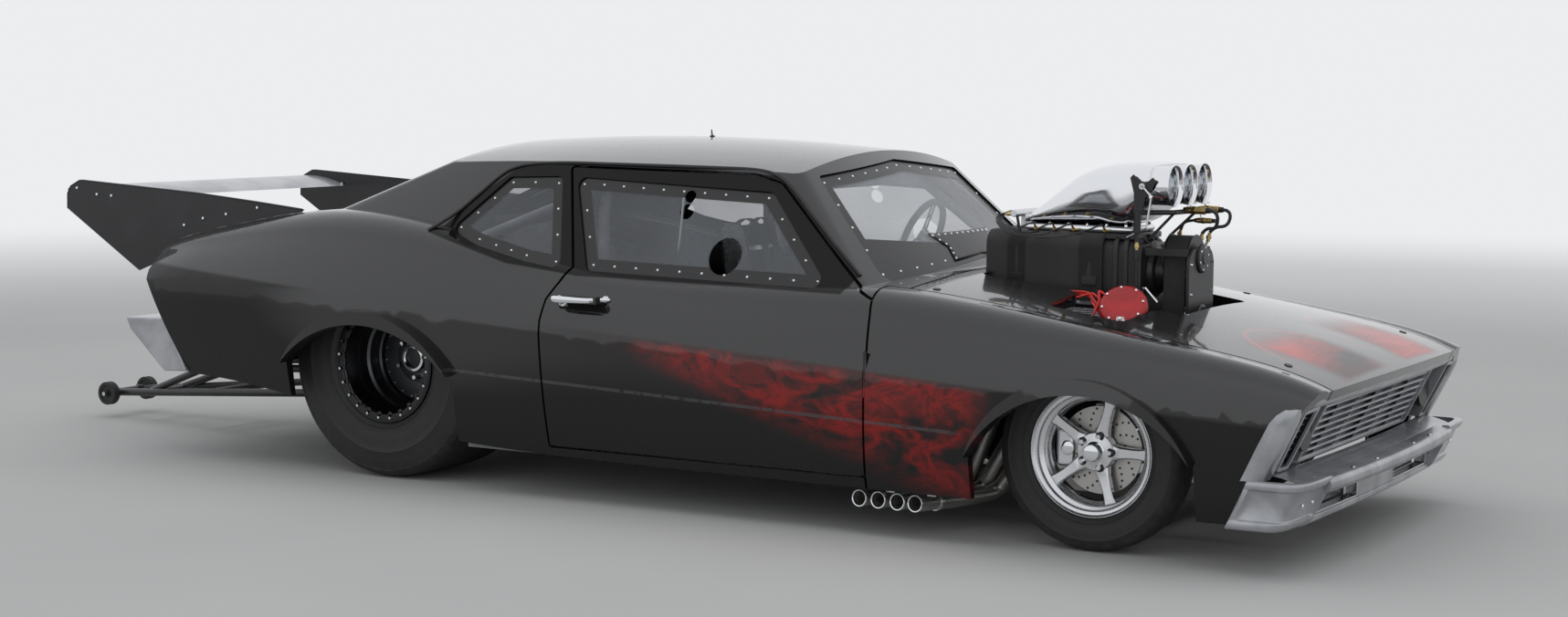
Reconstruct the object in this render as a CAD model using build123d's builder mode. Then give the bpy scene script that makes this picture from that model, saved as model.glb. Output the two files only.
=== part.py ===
from build123d import *
import math
import os

# Two-door drag racing coupe, in millimetres.  +X is the nose, +Y the left side, +Z up.
# The origin is on the ground, at the middle of the overall length.

# Driving sizes, with x counted from the front axle and y from the middle of the car
WHEELBASE = 2819
NOSE_REACH = 790
TAIL_REACH = 4940
FRONT_AXLE_X = (TAIL_REACH - NOSE_REACH) / 2

LOWER_WALL = 38
ROOF_WALL = 25
SEAM = 8
PANE = 5
PANE_DEPTH = 7
GAP = 0.3
JOINT_PROUD = 4

FRONT_TYRE_R = 317
FRONT_TYRE_WIDTH = 146
FRONT_RIM_R = 207
FRONT_RIM_WIDTH = 105
FRONT_WHEEL_Y = 667
REAR_TYRE_R = 432
REAR_TYRE_WIDTH = 436
REAR_RIM_R = 222
REAR_RIM_WIDTH = 400
REAR_WHEEL_Y = 567
KINGPIN_Y = 585
HUB_BORE_R = 31

WHEELIE_WHEEL_R = 50
WHEELIE_WHEEL_WIDTH = 34
WHEELIE_WHEEL_Y = 115
WHEELIE_WHEEL_Z = 105


os.makedirs("parts", exist_ok=True)


def ax(x):
    """Turns a distance ahead of the front axle into the model's X."""
    return FRONT_AXLE_X + x


REAR_AXLE = -WHEELBASE


def finish_piece(part, label):
    part.label = label
    export_step(part, f"parts/{label}.step")
    print(label, round(part.volume / 1e6, 2), len(part.solids()), part.is_valid)


# Lower body sections: station, bottom z, bottom half width, crease half width and z,
# shoulder half width and z, middle z of the deck or bonnet
BODY_SECTIONS = [
    (NOSE_REACH, 150, 795, 832, 498, 768, 542, 566),
    (450, 155, 845, 882, 520, 790, 642, 678),
    (0, 159, 865, 905, 535, 800, 712, 758),
    (-700, 160, 868, 912, 548, 815, 800, 845),
    (-1350, 162, 868, 915, 592, 815, 806, 850),
    (-1950, 168, 870, 920, 642, 822, 832, 880),
    (-2520, 200, 880, 930, 683, 818, 938, 985),
    (-3100, 285, 875, 918, 697, 782, 985, 1003),
    (-3600, 340, 850, 893, 700, 742, 915, 930),
    (-3930, 360, 825, 865, 700, 720, 835, 848),
]
SHOULDER_SHARE = 0.72
SHOULDER_FLAT = 75
INNER_DROP = 60


def body_section(station, zb, wb, wc, zc, ws, zs, zt, inset):
    """One closed section of the lower body, drawn in from its outside by inset."""
    zb = zb - (INNER_DROP if inset else 0)
    wb, wc, ws, zs, zt = wb - inset, wc - inset, ws - inset, zs - inset, zt - inset
    side_y = wc - (wc - ws) * SHOULDER_SHARE
    side_z = zc + (zs - zc) * SHOULDER_SHARE
    top_y = ws - SHOULDER_FLAT
    top_z = zs + (zt - zs) * 0.16
    with BuildSketch(Plane.YZ.offset(ax(station))) as section:
        with BuildLine():
            Line((-wb, zb), (wb, zb))
            for k in (1, -1):
                ThreePointArc((k * wb, zb), (k * ((wb + wc) / 2 + 14), (zb + zc) / 2), (k * wc, zc))
                bulge = (k * ((side_y + wc) / 2 + 7), (side_z + zc) / 2)
                ThreePointArc((k * wc, zc), bulge, (k * side_y, side_z))
                shoulder = (k * ((side_y + top_y) / 2 + 16), (side_z + top_z) / 2 + 14)
                ThreePointArc((k * side_y, side_z), shoulder, (k * top_y, top_z))
            ThreePointArc((top_y, top_z), (0, zt), (-top_y, top_z))
        make_face()
    return section.sketch


# Cabin outlines at two heights: front middle x, front corner x and y, side middle x and y,
# rear corner x and y, rear middle x
BELT_Z = 800
ROOF_Z = 1170
BELT = {"fm": -640, "fc": (-800, 772), "sm": (-1900, 818), "rc": (-3560, 742), "rm": -3800}
ROOF = {"fm": -1055, "fc": (-1140, 592), "sm": (-1850, 655), "rc": (-2640, 610), "rm": -2800}
CABIN_BASE_Z = 785
CABIN_TOP_Z = 1330
CABIN_CORNER_R = 60
ROOF_TOP = 1273
ROOF_PEAK = -1950
CROWN_R = 2600
LENGTH_R = 9000
ROOF_EDGE_R = 65


def cabin_outline(z, inset):
    """The cabin's plan outline at height z, drawn in square to its sloping sides."""
    rise = ROOF_Z - BELT_Z
    share = (z - BELT_Z) / rise

    def between(a, b):
        return a + (b - a) * share

    def level(run):
        return inset * math.hypot(run, rise) / rise

    front = level(ROOF["fm"] - BELT["fm"])
    rear = level(ROOF["rm"] - BELT["rm"])
    side = level(BELT["sm"][1] - ROOF["sm"][1])
    fm = between(BELT["fm"], ROOF["fm"]) - front
    rm = between(BELT["rm"], ROOF["rm"]) + rear
    fx, fy = between(BELT["fc"][0], ROOF["fc"][0]) - front, between(BELT["fc"][1], ROOF["fc"][1]) - side
    rx, ry = between(BELT["rc"][0], ROOF["rc"][0]) + rear, between(BELT["rc"][1], ROOF["rc"][1]) - side
    mx, my = between(BELT["sm"][0], ROOF["sm"][0]), between(BELT["sm"][1], ROOF["sm"][1]) - side
    with BuildSketch(Plane.XY.offset(z)) as outline:
        with BuildLine():
            ThreePointArc((ax(fx), -fy), (ax(fm), 0), (ax(fx), fy))
            ThreePointArc((ax(fx), fy), (ax(mx), my), (ax(rx), ry))
            ThreePointArc((ax(rx), ry), (ax(rm), 0), (ax(rx), -ry))
            ThreePointArc((ax(rx), -ry), (ax(mx), -my), (ax(fx), -fy))
        make_face()
        fillet(outline.vertices(), radius=CABIN_CORNER_R)
    return outline.sketch


def circle_y(x, p, q, r):
    """The y at x on the circle through three plan points."""
    d = 2 * (p[0] * (q[1] - r[1]) + q[0] * (r[1] - p[1]) + r[0] * (p[1] - q[1]))
    sums = [a[0] ** 2 + a[1] ** 2 for a in (p, q, r)]
    cx = (sums[0] * (q[1] - r[1]) + sums[1] * (r[1] - p[1]) + sums[2] * (p[1] - q[1])) / d
    cy = (sums[0] * (r[0] - q[0]) + sums[1] * (p[0] - r[0]) + sums[2] * (q[0] - p[0])) / d
    return cy + math.sqrt(math.hypot(p[0] - cx, p[1] - cy) ** 2 - (x - cx) ** 2)


def cabin_side_y(x, z):
    """The cabin side's half width at station x and height z."""
    share = (z - BELT_Z) / (ROOF_Z - BELT_Z)
    points = [
        tuple(BELT[key][i] + (ROOF[key][i] - BELT[key][i]) * share for i in (0, 1)) for key in ("fc", "sm", "rc")
    ]
    return circle_y(x, *points)


def roof_top(x):
    return ROOF_TOP - LENGTH_R + math.sqrt(LENGTH_R**2 - (x - ROOF_PEAK) ** 2)


ROOF_STATIONS = (-560, -1100, -1500, -1950, -2450, -3050, -3860)
SHOULDER_PROUD = 3


def roof_block(inset):
    """A long block with the roof's crown and its rounded side shoulders."""
    lean = math.hypot(BELT["sm"][1] - ROOF["sm"][1], ROOF_Z - BELT_Z) / (ROOF_Z - BELT_Z)
    sections = []
    for station in ROOF_STATIONS:
        at = min(max(station, -2700), -1060)
        top = roof_top(station) - inset
        low, high = (cabin_side_y(at, z) + SHOULDER_PROUD - inset * lean for z in (1120, 1220))
        slope = (high - low) / 100
        with BuildSketch(Plane.YZ.offset(ax(station))) as section:
            with BuildLine():
                foot, head = (low + slope * (z - 1120) for z in (560, 1420))
                Polyline((-foot, 560), (foot, 560), (head, 1420), (-head, 1420), close=True)
            make_face()
            with Locations((0, top - CROWN_R)):
                Circle(CROWN_R, mode=Mode.INTERSECT)
            upper = section.vertices().filter_by(lambda v: v.Z > 900)
            fillet(upper, radius=ROOF_EDGE_R - inset)
        sections.append(section.sketch)
    with BuildPart() as block:
        loft(sections=sections)
    return block.part


def lower_form(inset):
    """The lower body's outside, or the space inside it when an inset is given."""
    with BuildPart() as lower:
        loft(sections=[body_section(*row, inset) for row in BODY_SECTIONS])
    return lower.part


def cabin_form(inset):
    """The cabin's outside, or the space inside it when an inset is given."""
    base_z = CABIN_BASE_Z - (150 if inset > ROOF_WALL - 1 else 0)
    with BuildPart() as cabin:
        loft(sections=[cabin_outline(base_z, inset), cabin_outline(CABIN_TOP_Z, inset)], ruled=True)
        add(roof_block(inset), mode=Mode.INTERSECT)
    return cabin.part


# Side profile that trims the nose and tail: the tail leans in below its crease
TAIL_TRIM = [(-3700, 60), (-3722, 357), (-3905, 690), (-3930, 735), (-3930, 800), (-3890, 850), (-3860, 1400)]


def tail_prism(inset):
    with BuildPart() as prism:
        with BuildSketch(Plane.XZ) as profile:
            with BuildLine():
                points = [(ax(x + inset), z) for x, z in TAIL_TRIM]
                Polyline(*points, (ax(NOSE_REACH + 60), 1400), (ax(NOSE_REACH + 60), 60), close=True)
            make_face()
        extrude(amount=1200, both=True)
    return prism.part


NOSE_LEAN = 0.5
NOSE_CORNER = 742
NOSE_MIDDLE = NOSE_REACH - 18
NOSE_LIP_Z = 548


def nose_prism():
    """Trims the nose to its leaning, slightly bowed front."""
    low = 40
    back = NOSE_LEAN * (NOSE_LIP_Z - low)
    with BuildPart() as prism:
        with BuildSketch(Plane.XY.offset(low)) as plan:
            with BuildLine():
                corner, middle, tail = ax(NOSE_CORNER - back), ax(NOSE_MIDDLE - back), ax(-6000)
                ThreePointArc((corner, -850), (middle, 0), (corner, 850))
                Polyline((corner, 850), (corner - 200, 1200), (tail, 1200))
                Polyline((tail, 1200), (tail, -1200), (corner - 200, -1200), (corner, -850))
            make_face()
        extrude(amount=1300 * math.hypot(1, NOSE_LEAN), dir=(NOSE_LEAN, 0, 1))
    return prism.part




def side_prism(points, side, near=300, far=1200):
    """A profile in x and z, made solid across the car from near to far on one side."""
    with BuildPart() as prism:
        with BuildSketch(Plane.XZ.offset(-side * near)) as profile:
            with BuildLine():
                Polyline(*[(ax(x), z) for x, z in points], close=True)
            make_face()
        extrude(amount=-side * (far - near))
    return prism.part


def round_prism(points, radius, side, near=300, far=1200, grow=0):
    """The same, with rounded corners, and drawn larger by grow."""
    with BuildPart() as prism:
        with BuildSketch(Plane.XZ.offset(-side * near)) as profile:
            with BuildLine():
                Polyline(*[(ax(x), z) for x, z in points], close=True)
            make_face()
            fillet(profile.vertices(), radius=radius)
            if grow:
                offset(amount=grow)
        extrude(amount=-side * (far - near))
    return prism.part


def plan_prism(points, low, high, grow=0, radius=0):
    """A plan outline made solid between two heights."""
    with BuildPart() as prism:
        with BuildSketch(Plane.XY.offset(low)) as plan:
            with BuildLine():
                Polyline(*[(ax(x), y) for x, y in points], close=True)
            make_face()
            if radius:
                fillet(plan.vertices(), radius=radius)
            if grow:
                offset(amount=grow)
        extrude(amount=high - low)
    return prism.part


def tube(points, radius, bend=60):
    """A round bar bent through the points given, with bends of one radius."""
    corners = [(ax(x), y, z) for x, y, z in points]
    with BuildPart() as run:
        with BuildLine() as path:
            if len(corners) > 2:
                FilletPolyline(*corners, radius=bend)
            else:
                Line(*corners)
        with BuildSketch(Plane(origin=path.line @ 0, z_dir=path.line % 0)):
            Circle(radius)
        sweep(path=path.line)
    return run.part


def block(x0, x1, y0, y1, z0, z1):
    """A plain box given by its limits."""
    with BuildPart() as part:
        with Locations(((ax(x0) + ax(x1)) / 2, (y0 + y1) / 2, (z0 + z1) / 2)):
            Box(abs(x1 - x0), abs(y1 - y0), abs(z1 - z0))
    return part.part


def disc(x, y, z, radius, width):
    """A cylinder lying across the car, centred on the point given."""
    with BuildPart() as part:
        with Locations(Location((ax(x), y, z), (90, 0, 0))):
            Cylinder(radius=radius, height=width)
    return part.part


def ring(profile):
    """A ring turned about the Y axis: the profile is radius and distance outboard."""
    with BuildPart() as part:
        with BuildSketch(Plane.XY):
            with BuildLine():
                Polyline(*profile, close=True)
            make_face()
        revolve(axis=Axis.Y)
    return part.part


def place_wheel(part, x, y, z, side):
    """Puts a wheel piece drawn at the origin, outboard on +Y, onto its axle."""
    shape = part if side > 0 else part.mirror(Plane.XZ)
    with BuildPart() as placed:
        add(shape.moved(Location((ax(x), y, z))))
    return placed.part


# Openings and panel outlines, as x and z
FRONT_ARCH = ((-345, 300), (20, 525), (405, 330))
REAR_ARCH = ((-3175, 425), (-2775, 590), (-2385, 425))
FLARE_RISE = 48
FLARE_OUT = 36
DOOR = [
    (-724, 200), (-715, 460), (-715, 620), (-736, 775), (-800, 800), (-1190, 1135), (-1300, 1165),
    (-2030, 1175), (-2045, 1170), (-1935, 830), (-1990, 720), (-2000, 600), (-1985, 200),
]
DOOR_BACK_PULL = 3
DOOR_WINDOW = [(-1874, 818), (-917, 796), (-1218, 1106), (-2012, 1140)]
QUARTER_WINDOW = [(-1985, 818), (-2150, 838), (-2380, 885), (-2520, 935), (-2307, 1132), (-2075, 1140)]
WINDSCREEN = [(-655, 818), (0, 868), (655, 818), (520, 1160), (0, 1205), (-520, 1160)]
REAR_WINDOW = [(-2790, -500), (-2770, 0), (-2790, 500), (-3270, 560), (-3290, 0), (-3270, -560)]
WINDOW_R = 28

# Bonnet seam, hole for the blower, and boot lid, as x and y
BONNET = [
    (-655, -705), (-300, -700), (0, -692), (350, -676), (900, -655), (900, 655), (350, 676), (0, 692),
    (-300, 700), (-655, 705),
]
BONNET_HOLE = [
    (-700, -165), (-600, -165), (-600, -300), (-230, -300), (-215, -590), (45, -590), (45, -300), (140, -300),
    (140, 300), (-600, 300), (-600, 165), (-700, 165),
]
BOOT_LID = [(-3850, -600), (-3850, 600), (-3425, 640), (-3425, -640)]
GUARD_BACK = [(-724, 100), (-724, 200), (-715, 460), (-715, 620), (-736, 775), (-736, 1000), (1200, 1000), (1200, 100)]
HINGE_X, HINGE_Y, HINGE_R = -715, 909, 3.7
HINGE_Z = (465, 615)
SEAM_HALF = SEAM / 2
BUMPER_NOTCH = [(509, 60), (509, 137), (572, 315), (1200, 315), (1200, 60)]
COWL_EDGE = -659

with BuildPart() as outer:
    add(lower_form(0))
    add(cabin_form(0))
    add(tail_prism(0), mode=Mode.INTERSECT)
    add(nose_prism(), mode=Mode.INTERSECT)
with BuildPart() as inner:
    add(lower_form(LOWER_WALL))
    add(cabin_form(ROOF_WALL))
    add(tail_prism(LOWER_WALL), mode=Mode.INTERSECT)
with BuildPart() as shell:
    add(outer.part)
    add(inner.part, mode=Mode.SUBTRACT)

with BuildPart() as flared:
    add(lower_form(-FLARE_OUT))
    add(inner.part, mode=Mode.SUBTRACT)


def arch_cutter(arch, side):
    (x0, z0), (x1, z1), (x2, z2) = arch
    with BuildPart() as cutter:
        with BuildSketch(Plane.XZ.offset(-side * 600)) as profile:
            with BuildLine():
                ThreePointArc((ax(x0), z0), (ax(x1), z1), (ax(x2), z2))
                Polyline((ax(x2), z2), (ax(x2), 20), (ax(x0), 20), (ax(x0), z0))
            make_face()
        extrude(amount=-side * 500)
    return cutter.part


def flare(arch, side):
    """A crescent standing out over the top of a wheel opening."""
    (x0, z0), (x1, z1), (x2, z2) = arch
    with BuildPart() as lip:
        with BuildSketch(Plane.XZ.offset(-side * 700)) as profile:
            with BuildLine():
                ThreePointArc((ax(x0), z0), (ax(x1), z1), (ax(x2), z2))
                ThreePointArc((ax(x0), z0), (ax(x1), z1 + FLARE_RISE), (ax(x2), z2))
            make_face()
        extrude(amount=-side * 400)
        add(flared.part, mode=Mode.INTERSECT)
    return lip.part


with BuildPart() as bonnet:
    add(shell.part)
    add(plan_prism(BONNET, 450, 1000, grow=-SEAM_HALF), mode=Mode.INTERSECT)
    add(plan_prism(BONNET_HOLE, 450, 1000, radius=40), mode=Mode.SUBTRACT)
finish_piece(bonnet.part, "bonnet")

guards = {}
for side, name in ((-1, "right"), (1, "left")):
    with BuildPart() as guard:
        add(shell.part)
        add(side_prism([(x + SEAM_HALF, z) for x, z in GUARD_BACK], side, near=5), mode=Mode.INTERSECT)
        add(plan_prism(BONNET, 0, 1000, grow=SEAM_HALF), mode=Mode.SUBTRACT)
        add(block(-1000, -600, -709, 709, 0, 1000), mode=Mode.SUBTRACT)
        add(side_prism(BUMPER_NOTCH, side), mode=Mode.SUBTRACT)
        add(flare(FRONT_ARCH, side))
        add(arch_cutter(FRONT_ARCH, side), mode=Mode.SUBTRACT)
        with BuildSketch(Plane.XY.offset(HINGE_Z[0])):
            with Locations((ax(HINGE_X), side * HINGE_Y)):
                Circle(HINGE_R)
                with Locations((4, 0)):
                    Rectangle(8, 3)
        extrude(amount=HINGE_Z[1] - HINGE_Z[0])
    guards[name] = guard.part
    finish_piece(guard.part, f"guard_{name}")

with BuildPart() as boot_lid:
    add(shell.part)
    add(plan_prism(BOOT_LID, 780, 1100, grow=-SEAM_HALF), mode=Mode.INTERSECT)
    for near, x0, x1 in ((LOWER_WALL - 6, -3520, -3431), (LOWER_WALL + GAP, -3520, -3390)):
        with BuildPart():
            for side in (-1, 1):
                add(block(x0, x1, side * 380, side * 430, 800, 1100))
            add(lower_form(near), mode=Mode.INTERSECT)
            add(lower_form(LOWER_WALL + 9), mode=Mode.SUBTRACT)
finish_piece(boot_lid.part, "boot_lid")

pane_outer = cabin_form(PANE_DEPTH)
pane_inner = cabin_form(PANE_DEPTH + PANE)
with BuildPart() as pane_layer:
    add(pane_outer)
    add(pane_inner, mode=Mode.SUBTRACT)


def windscreen_prism(grow):
    with BuildPart() as prism:
        with BuildSketch(Plane.YZ.offset(ax(-1500))) as profile:
            with BuildLine():
                Polyline(*WINDSCREEN, close=True)
            make_face()
            fillet(profile.vertices(), radius=WINDOW_R)
            offset(amount=grow)
        extrude(amount=1500)
    return prism.part


with BuildPart() as windscreen:
    add(pane_layer.part)
    add(windscreen_prism(-GAP), mode=Mode.INTERSECT)
finish_piece(windscreen.part, "windscreen")
with BuildPart() as rear_window:
    add(pane_layer.part)
    add(plan_prism(REAR_WINDOW, 850, 1400, grow=-GAP, radius=WINDOW_R), mode=Mode.INTERSECT)
finish_piece(rear_window.part, "rear_window")
with BuildPart() as quarter_windows:
    add(pane_layer.part)
    with BuildPart(mode=Mode.INTERSECT):
        for side in (-1, 1):
            add(round_prism(QUARTER_WINDOW, WINDOW_R, side, grow=-GAP))
finish_piece(quarter_windows.part, "quarter_windows")

door_line = [(x + (DOOR_BACK_PULL if x < -1900 and z > 800 else 0), z) for x, z in DOOR]
for side, name in ((-1, "right"), (1, "left")):
    window = round_prism(DOOR_WINDOW, WINDOW_R, side, grow=0.01)
    with BuildPart() as door:
        add(shell.part)
        add(round_prism(door_line, 10, side, grow=-SEAM_HALF), mode=Mode.INTERSECT)
        add(window, mode=Mode.SUBTRACT)
        with Locations((ax(-1848), side * 905, 727)):
            Box(190, 44, 24)
    finish_piece(door.part, f"door_{name}")
    with BuildPart() as pane:
        add(pane_layer.part)
        add(round_prism(DOOR_WINDOW, WINDOW_R, side, grow=-GAP), mode=Mode.INTERSECT)
    finish_piece(pane.part, f"door_glass_{name}")

with BuildPart() as body:
    add(shell.part)
    for side, name in ((-1, "right"), (1, "left")):
        add(round_prism(DOOR, 10, side, grow=SEAM_HALF), mode=Mode.SUBTRACT)
        add(side_prism([(x - SEAM_HALF, z) for x, z in GUARD_BACK], side, near=701), mode=Mode.SUBTRACT)
        add(round_prism(QUARTER_WINDOW, WINDOW_R, side, grow=0.01), mode=Mode.SUBTRACT)
        add(flare(REAR_ARCH, side))
        add(arch_cutter(REAR_ARCH, side), mode=Mode.SUBTRACT)
    add(block(COWL_EDGE, 1200, -1200, 1200, 0, 1400), mode=Mode.SUBTRACT)
    add(plan_prism(BOOT_LID, 780, 1100, grow=SEAM_HALF), mode=Mode.SUBTRACT)
    add(plan_prism(REAR_WINDOW, 850, 1400, grow=0.01, radius=WINDOW_R), mode=Mode.SUBTRACT)
    add(windscreen_prism(0.01), mode=Mode.SUBTRACT)
finish_piece(body.part, "body_shell")

# Floor, firewall, hinge posts and rear wheel tubs
TUB_R = 466
TUB_WALL = 6
TUB_IN, TUB_OUT = 328, 742
REAR_FLOOR_Z = 612
inner_fit = lower_form(LOWER_WALL + GAP)
with BuildPart() as floor_pan:
    add(block(-2364, -680, -900, 900, 165, 180))
    add(block(-2364, -2352, -900, 900, 180, REAR_FLOOR_Z))
    add(inner_fit, mode=Mode.INTERSECT)
    add(block(-692, -680, -560, 560, 180, 770))
    add(block(-3640, -2352, -330, 330, REAR_FLOOR_Z - 12, REAR_FLOOR_Z))
    for side in (-1, 1):
        add(block(-790, -692, side * 735, side * 790, 180, 700))
        with BuildPart():
            mid = side * (TUB_IN + TUB_OUT) / 2
            add(disc(REAR_AXLE, mid, REAR_TYRE_R, TUB_R + TUB_WALL, TUB_OUT - TUB_IN))
            add(disc(REAR_AXLE, mid + side * TUB_WALL, REAR_TYRE_R, TUB_R, TUB_OUT - TUB_IN), mode=Mode.SUBTRACT)
            add(block(-3400, -2352, side * 200, side * 800, -100, REAR_FLOOR_Z - 12), mode=Mode.SUBTRACT)
    for x, r in ((-686, 96), (-2358, 46)):
        with BuildSketch(Plane.YZ.offset(ax(x - 20))):
            with Locations((0, 330)):
                Circle(r)
        extrude(amount=40, mode=Mode.SUBTRACT)
    for side in (-1, 1):
        add(block(-2400, -2340, side * 262, side * 308, 255, 368), mode=Mode.SUBTRACT)
finish_piece(floor_pan.part, "floor_pan")

# Cage tubes, as runs of points on the left side or across
CAGE_R = 19
CAGE_SIDE = [
    [(-1960, 575, 175), (-1960, 575, 1000), (-1960, 540, 1128)],
    [(-1960, 540, 1128), (-1250, 500, 1118), (-820, 590, 770), (-815, 690, 185)],
    [(-1960, 540, 1128), (-2560, 480, 1090), (-3250, 290, 800), (-3280, 290, 606)],
    [(-1960, 575, 420), (-815, 670, 300)],
]
CAGE_CROSS = [
    [(-1960, -540, 1128), (-1960, 540, 1128)],
    [(-1250, -500, 1118), (-1250, 500, 1118)],
    [(-820, -602, 700), (-820, 602, 700)],
    [(-1960, -575, 640), (-1960, 575, 640)],
]
with BuildPart() as roll_cage:
    for run in CAGE_SIDE:
        add(tube(run, CAGE_R))
        add(tube([(x, -y, z) for x, y, z in run], CAGE_R))
    for run in CAGE_CROSS:
        add(tube(run, CAGE_R))
    for side in (-1, 1):
        for x, z in ((-1960, 1128), (-1250, 1118)):
            with Locations((ax(x), side * (540 if x < -1500 else 500), z)):
                Sphere(CAGE_R + JOINT_PROUD)
    add(block(-2100, -600, -800, 800, 100, 180.3), mode=Mode.SUBTRACT)
    add(block(-3400, -2600, -800, 800, 500, REAR_FLOOR_Z + GAP), mode=Mode.SUBTRACT)
finish_piece(roll_cage.part, "roll_cage")

# Inside: dashboard with column, one seat
COLUMN_TILT = 22
WHEEL_CENTRE = (-1165, 365, 905)
DASH_HALF = 560
with BuildPart() as dashboard:
    with BuildSketch(Plane.XZ.offset(DASH_HALF)) as profile:
        with BuildLine():
            Polyline(
                *[(ax(x), z) for x, z in ((-760, 735), (-760, 770), (-850, 785), (-905, 765), (-890, 735))],
                close=True,
            )
        make_face()
    extrude(amount=-2 * DASH_HALF)
    for side in (-1, 1):
        add(block(-905, -740, side * 400, side * DASH_HALF, 719 + GAP, 745))
    column = Plane(origin=(ax(WHEEL_CENTRE[0]), WHEEL_CENTRE[1], WHEEL_CENTRE[2]), z_dir=(
        math.cos(math.radians(COLUMN_TILT)), 0, -math.sin(math.radians(COLUMN_TILT))))
    with BuildSketch(column.offset(50)):
        Circle(19)
    extrude(amount=330)
    with BuildSketch(Plane.YZ.offset(ax(-915))) as pods:
        for y in (290, 365, 440):
            with Locations((y, 800)):
                Circle(34)
    extrude(amount=60)
finish_piece(dashboard.part, "dashboard")

with BuildPart() as steering_wheel:
    with BuildSketch(column) as hub:
        Circle(32)
    extrude(amount=49.7)
    with Locations(column):
        Torus(major_radius=140, minor_radius=13)
        for angle in (90, 210, 330):
            with Locations(Location((0, 0, 0), (0, 0, angle)) * Location((72, 0, 3))):
                Box(140, 30, 6)
finish_piece(steering_wheel.part, "steering_wheel")

SEAT_Y, SEAT_HALF = 360, 190
with BuildPart() as driver_seat:
    with BuildSketch(Plane.XZ.offset(-(SEAT_Y + SEAT_HALF))) as profile:
        with BuildLine():
            Polyline(
                *[(ax(x), z) for x, z in (
                    (-1400, 180.3), (-1360, 330), (-1390, 350), (-1760, 290), (-1880, 930), (-1905, 940),
                    (-1935, 925), (-1850, 180.3),
                )],
                close=True,
            )
        make_face()
    extrude(amount=2 * SEAT_HALF)
    with BuildSketch(Plane.XZ.offset(-(SEAT_Y + SEAT_HALF - 45))) as hollow:
        with BuildLine():
            Polyline(
                *[(ax(x), z) for x, z in ((-1330, 365), (-1380, 300), (-1775, 250), (-1800, 420), (-1700, 420))],
                close=True,
            )
        make_face()
    extrude(amount=2 * (SEAT_HALF - 45), mode=Mode.SUBTRACT)
finish_piece(driver_seat.part, "driver_seat")

# Nose pieces between the guards
NOSE_LEAN_DEG = math.degrees(math.atan(NOSE_LEAN))
GRILLE_BARS = 9
GRILLE_LOW, GRILLE_HIGH, GRILLE_HALF = 325, 520, 560


def lean_x(z, back=0):
    """The x of the leaning nose plane at height z, set back by the distance given."""
    return NOSE_MIDDLE - NOSE_LEAN * (NOSE_LIP_Z - z) - back


def nose_bar(y0, y1, z, back, depth, height):
    x = lean_x(z, back)
    return block(x - depth, x, y0, y1, z - height / 2, z + height / 2)


def leaning_slab(half, low, high, back0, back1):
    """A plate parallel to the nose plane, between two distances behind it."""
    with BuildPart() as slab:
        with BuildSketch(Plane.XZ.offset(-half)):
            with BuildLine():
                Polyline(
                    (ax(lean_x(low, back1)), low), (ax(lean_x(low, back0)), low), (ax(lean_x(high, back0)), high),
                    (ax(lean_x(high, back1)), high), close=True,
                )
            make_face()
        extrude(amount=2 * half)
    return slab.part


PANEL_BACK = 90
NOSE_LEG_X = 566
with BuildPart() as nose_panel:
    add(leaning_slab(900, 310, 640, PANEL_BACK + GAP, PANEL_BACK + 14))
    add(inner_fit, mode=Mode.INTERSECT)
    add(block(300, 800, -520, 520, 330, 500), mode=Mode.SUBTRACT)
    for side in (-1, 1):
        add(block(560, NOSE_LEG_X, side * 330, side * 345, 180 + GAP, 330))
finish_piece(nose_panel.part, "nose_panel")

with BuildPart() as grille:
    pitch = (GRILLE_HIGH - GRILLE_LOW) / (GRILLE_BARS - 1)
    for i in range(GRILLE_BARS):
        add(nose_bar(-GRILLE_HALF, GRILLE_HALF, GRILLE_LOW + pitch * i, 42, 34, 7))
    add(leaning_slab(GRILLE_HALF, GRILLE_LOW - 8, GRILLE_HIGH - 2, 70, PANEL_BACK))
    for y in (-GRILLE_HALF, -190, 190, GRILLE_HALF):
        for i in range(GRILLE_BARS - 1):
            add(nose_bar(y - 5, y + 5, GRILLE_LOW + pitch * (i + 0.5), 50, 60, pitch + 4))
    add(leaning_slab(900, 200, 700, -200, PANEL_BACK), mode=Mode.INTERSECT)
finish_piece(grille.part, "grille")

HEADLAMP_Y, HEADLAMP_Z = 630, 425
with BuildPart() as headlamps:
    for side in (-1, 1):
        with BuildSketch(Plane.YZ.offset(ax(lean_x(HEADLAMP_Z, 150)))) as lamp:
            with Locations((side * HEADLAMP_Y, HEADLAMP_Z)):
                Circle(60)
        extrude(amount=110)
    add(leaning_slab(900, 200, 700, -200, PANEL_BACK), mode=Mode.INTERSECT)
finish_piece(headlamps.part, "headlamps")

with BuildPart() as nose_bezels:
    for side in (-1, 1):
        for i in range(9):
            z = 335 + 21.5 * i
            add(nose_bar(side * 698, side * 786, z, 30, 60, 8))
        for y in (694, 782):
            for i in range(8):
                add(nose_bar(side * y, side * (y + 8), 335 + 21.5 * (i + 0.5), 24, 70, 23))
    add(leaning_slab(900, 200, 700, -200, PANEL_BACK), mode=Mode.INTERSECT)
finish_piece(nose_bezels.part, "nose_bezels")

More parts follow.
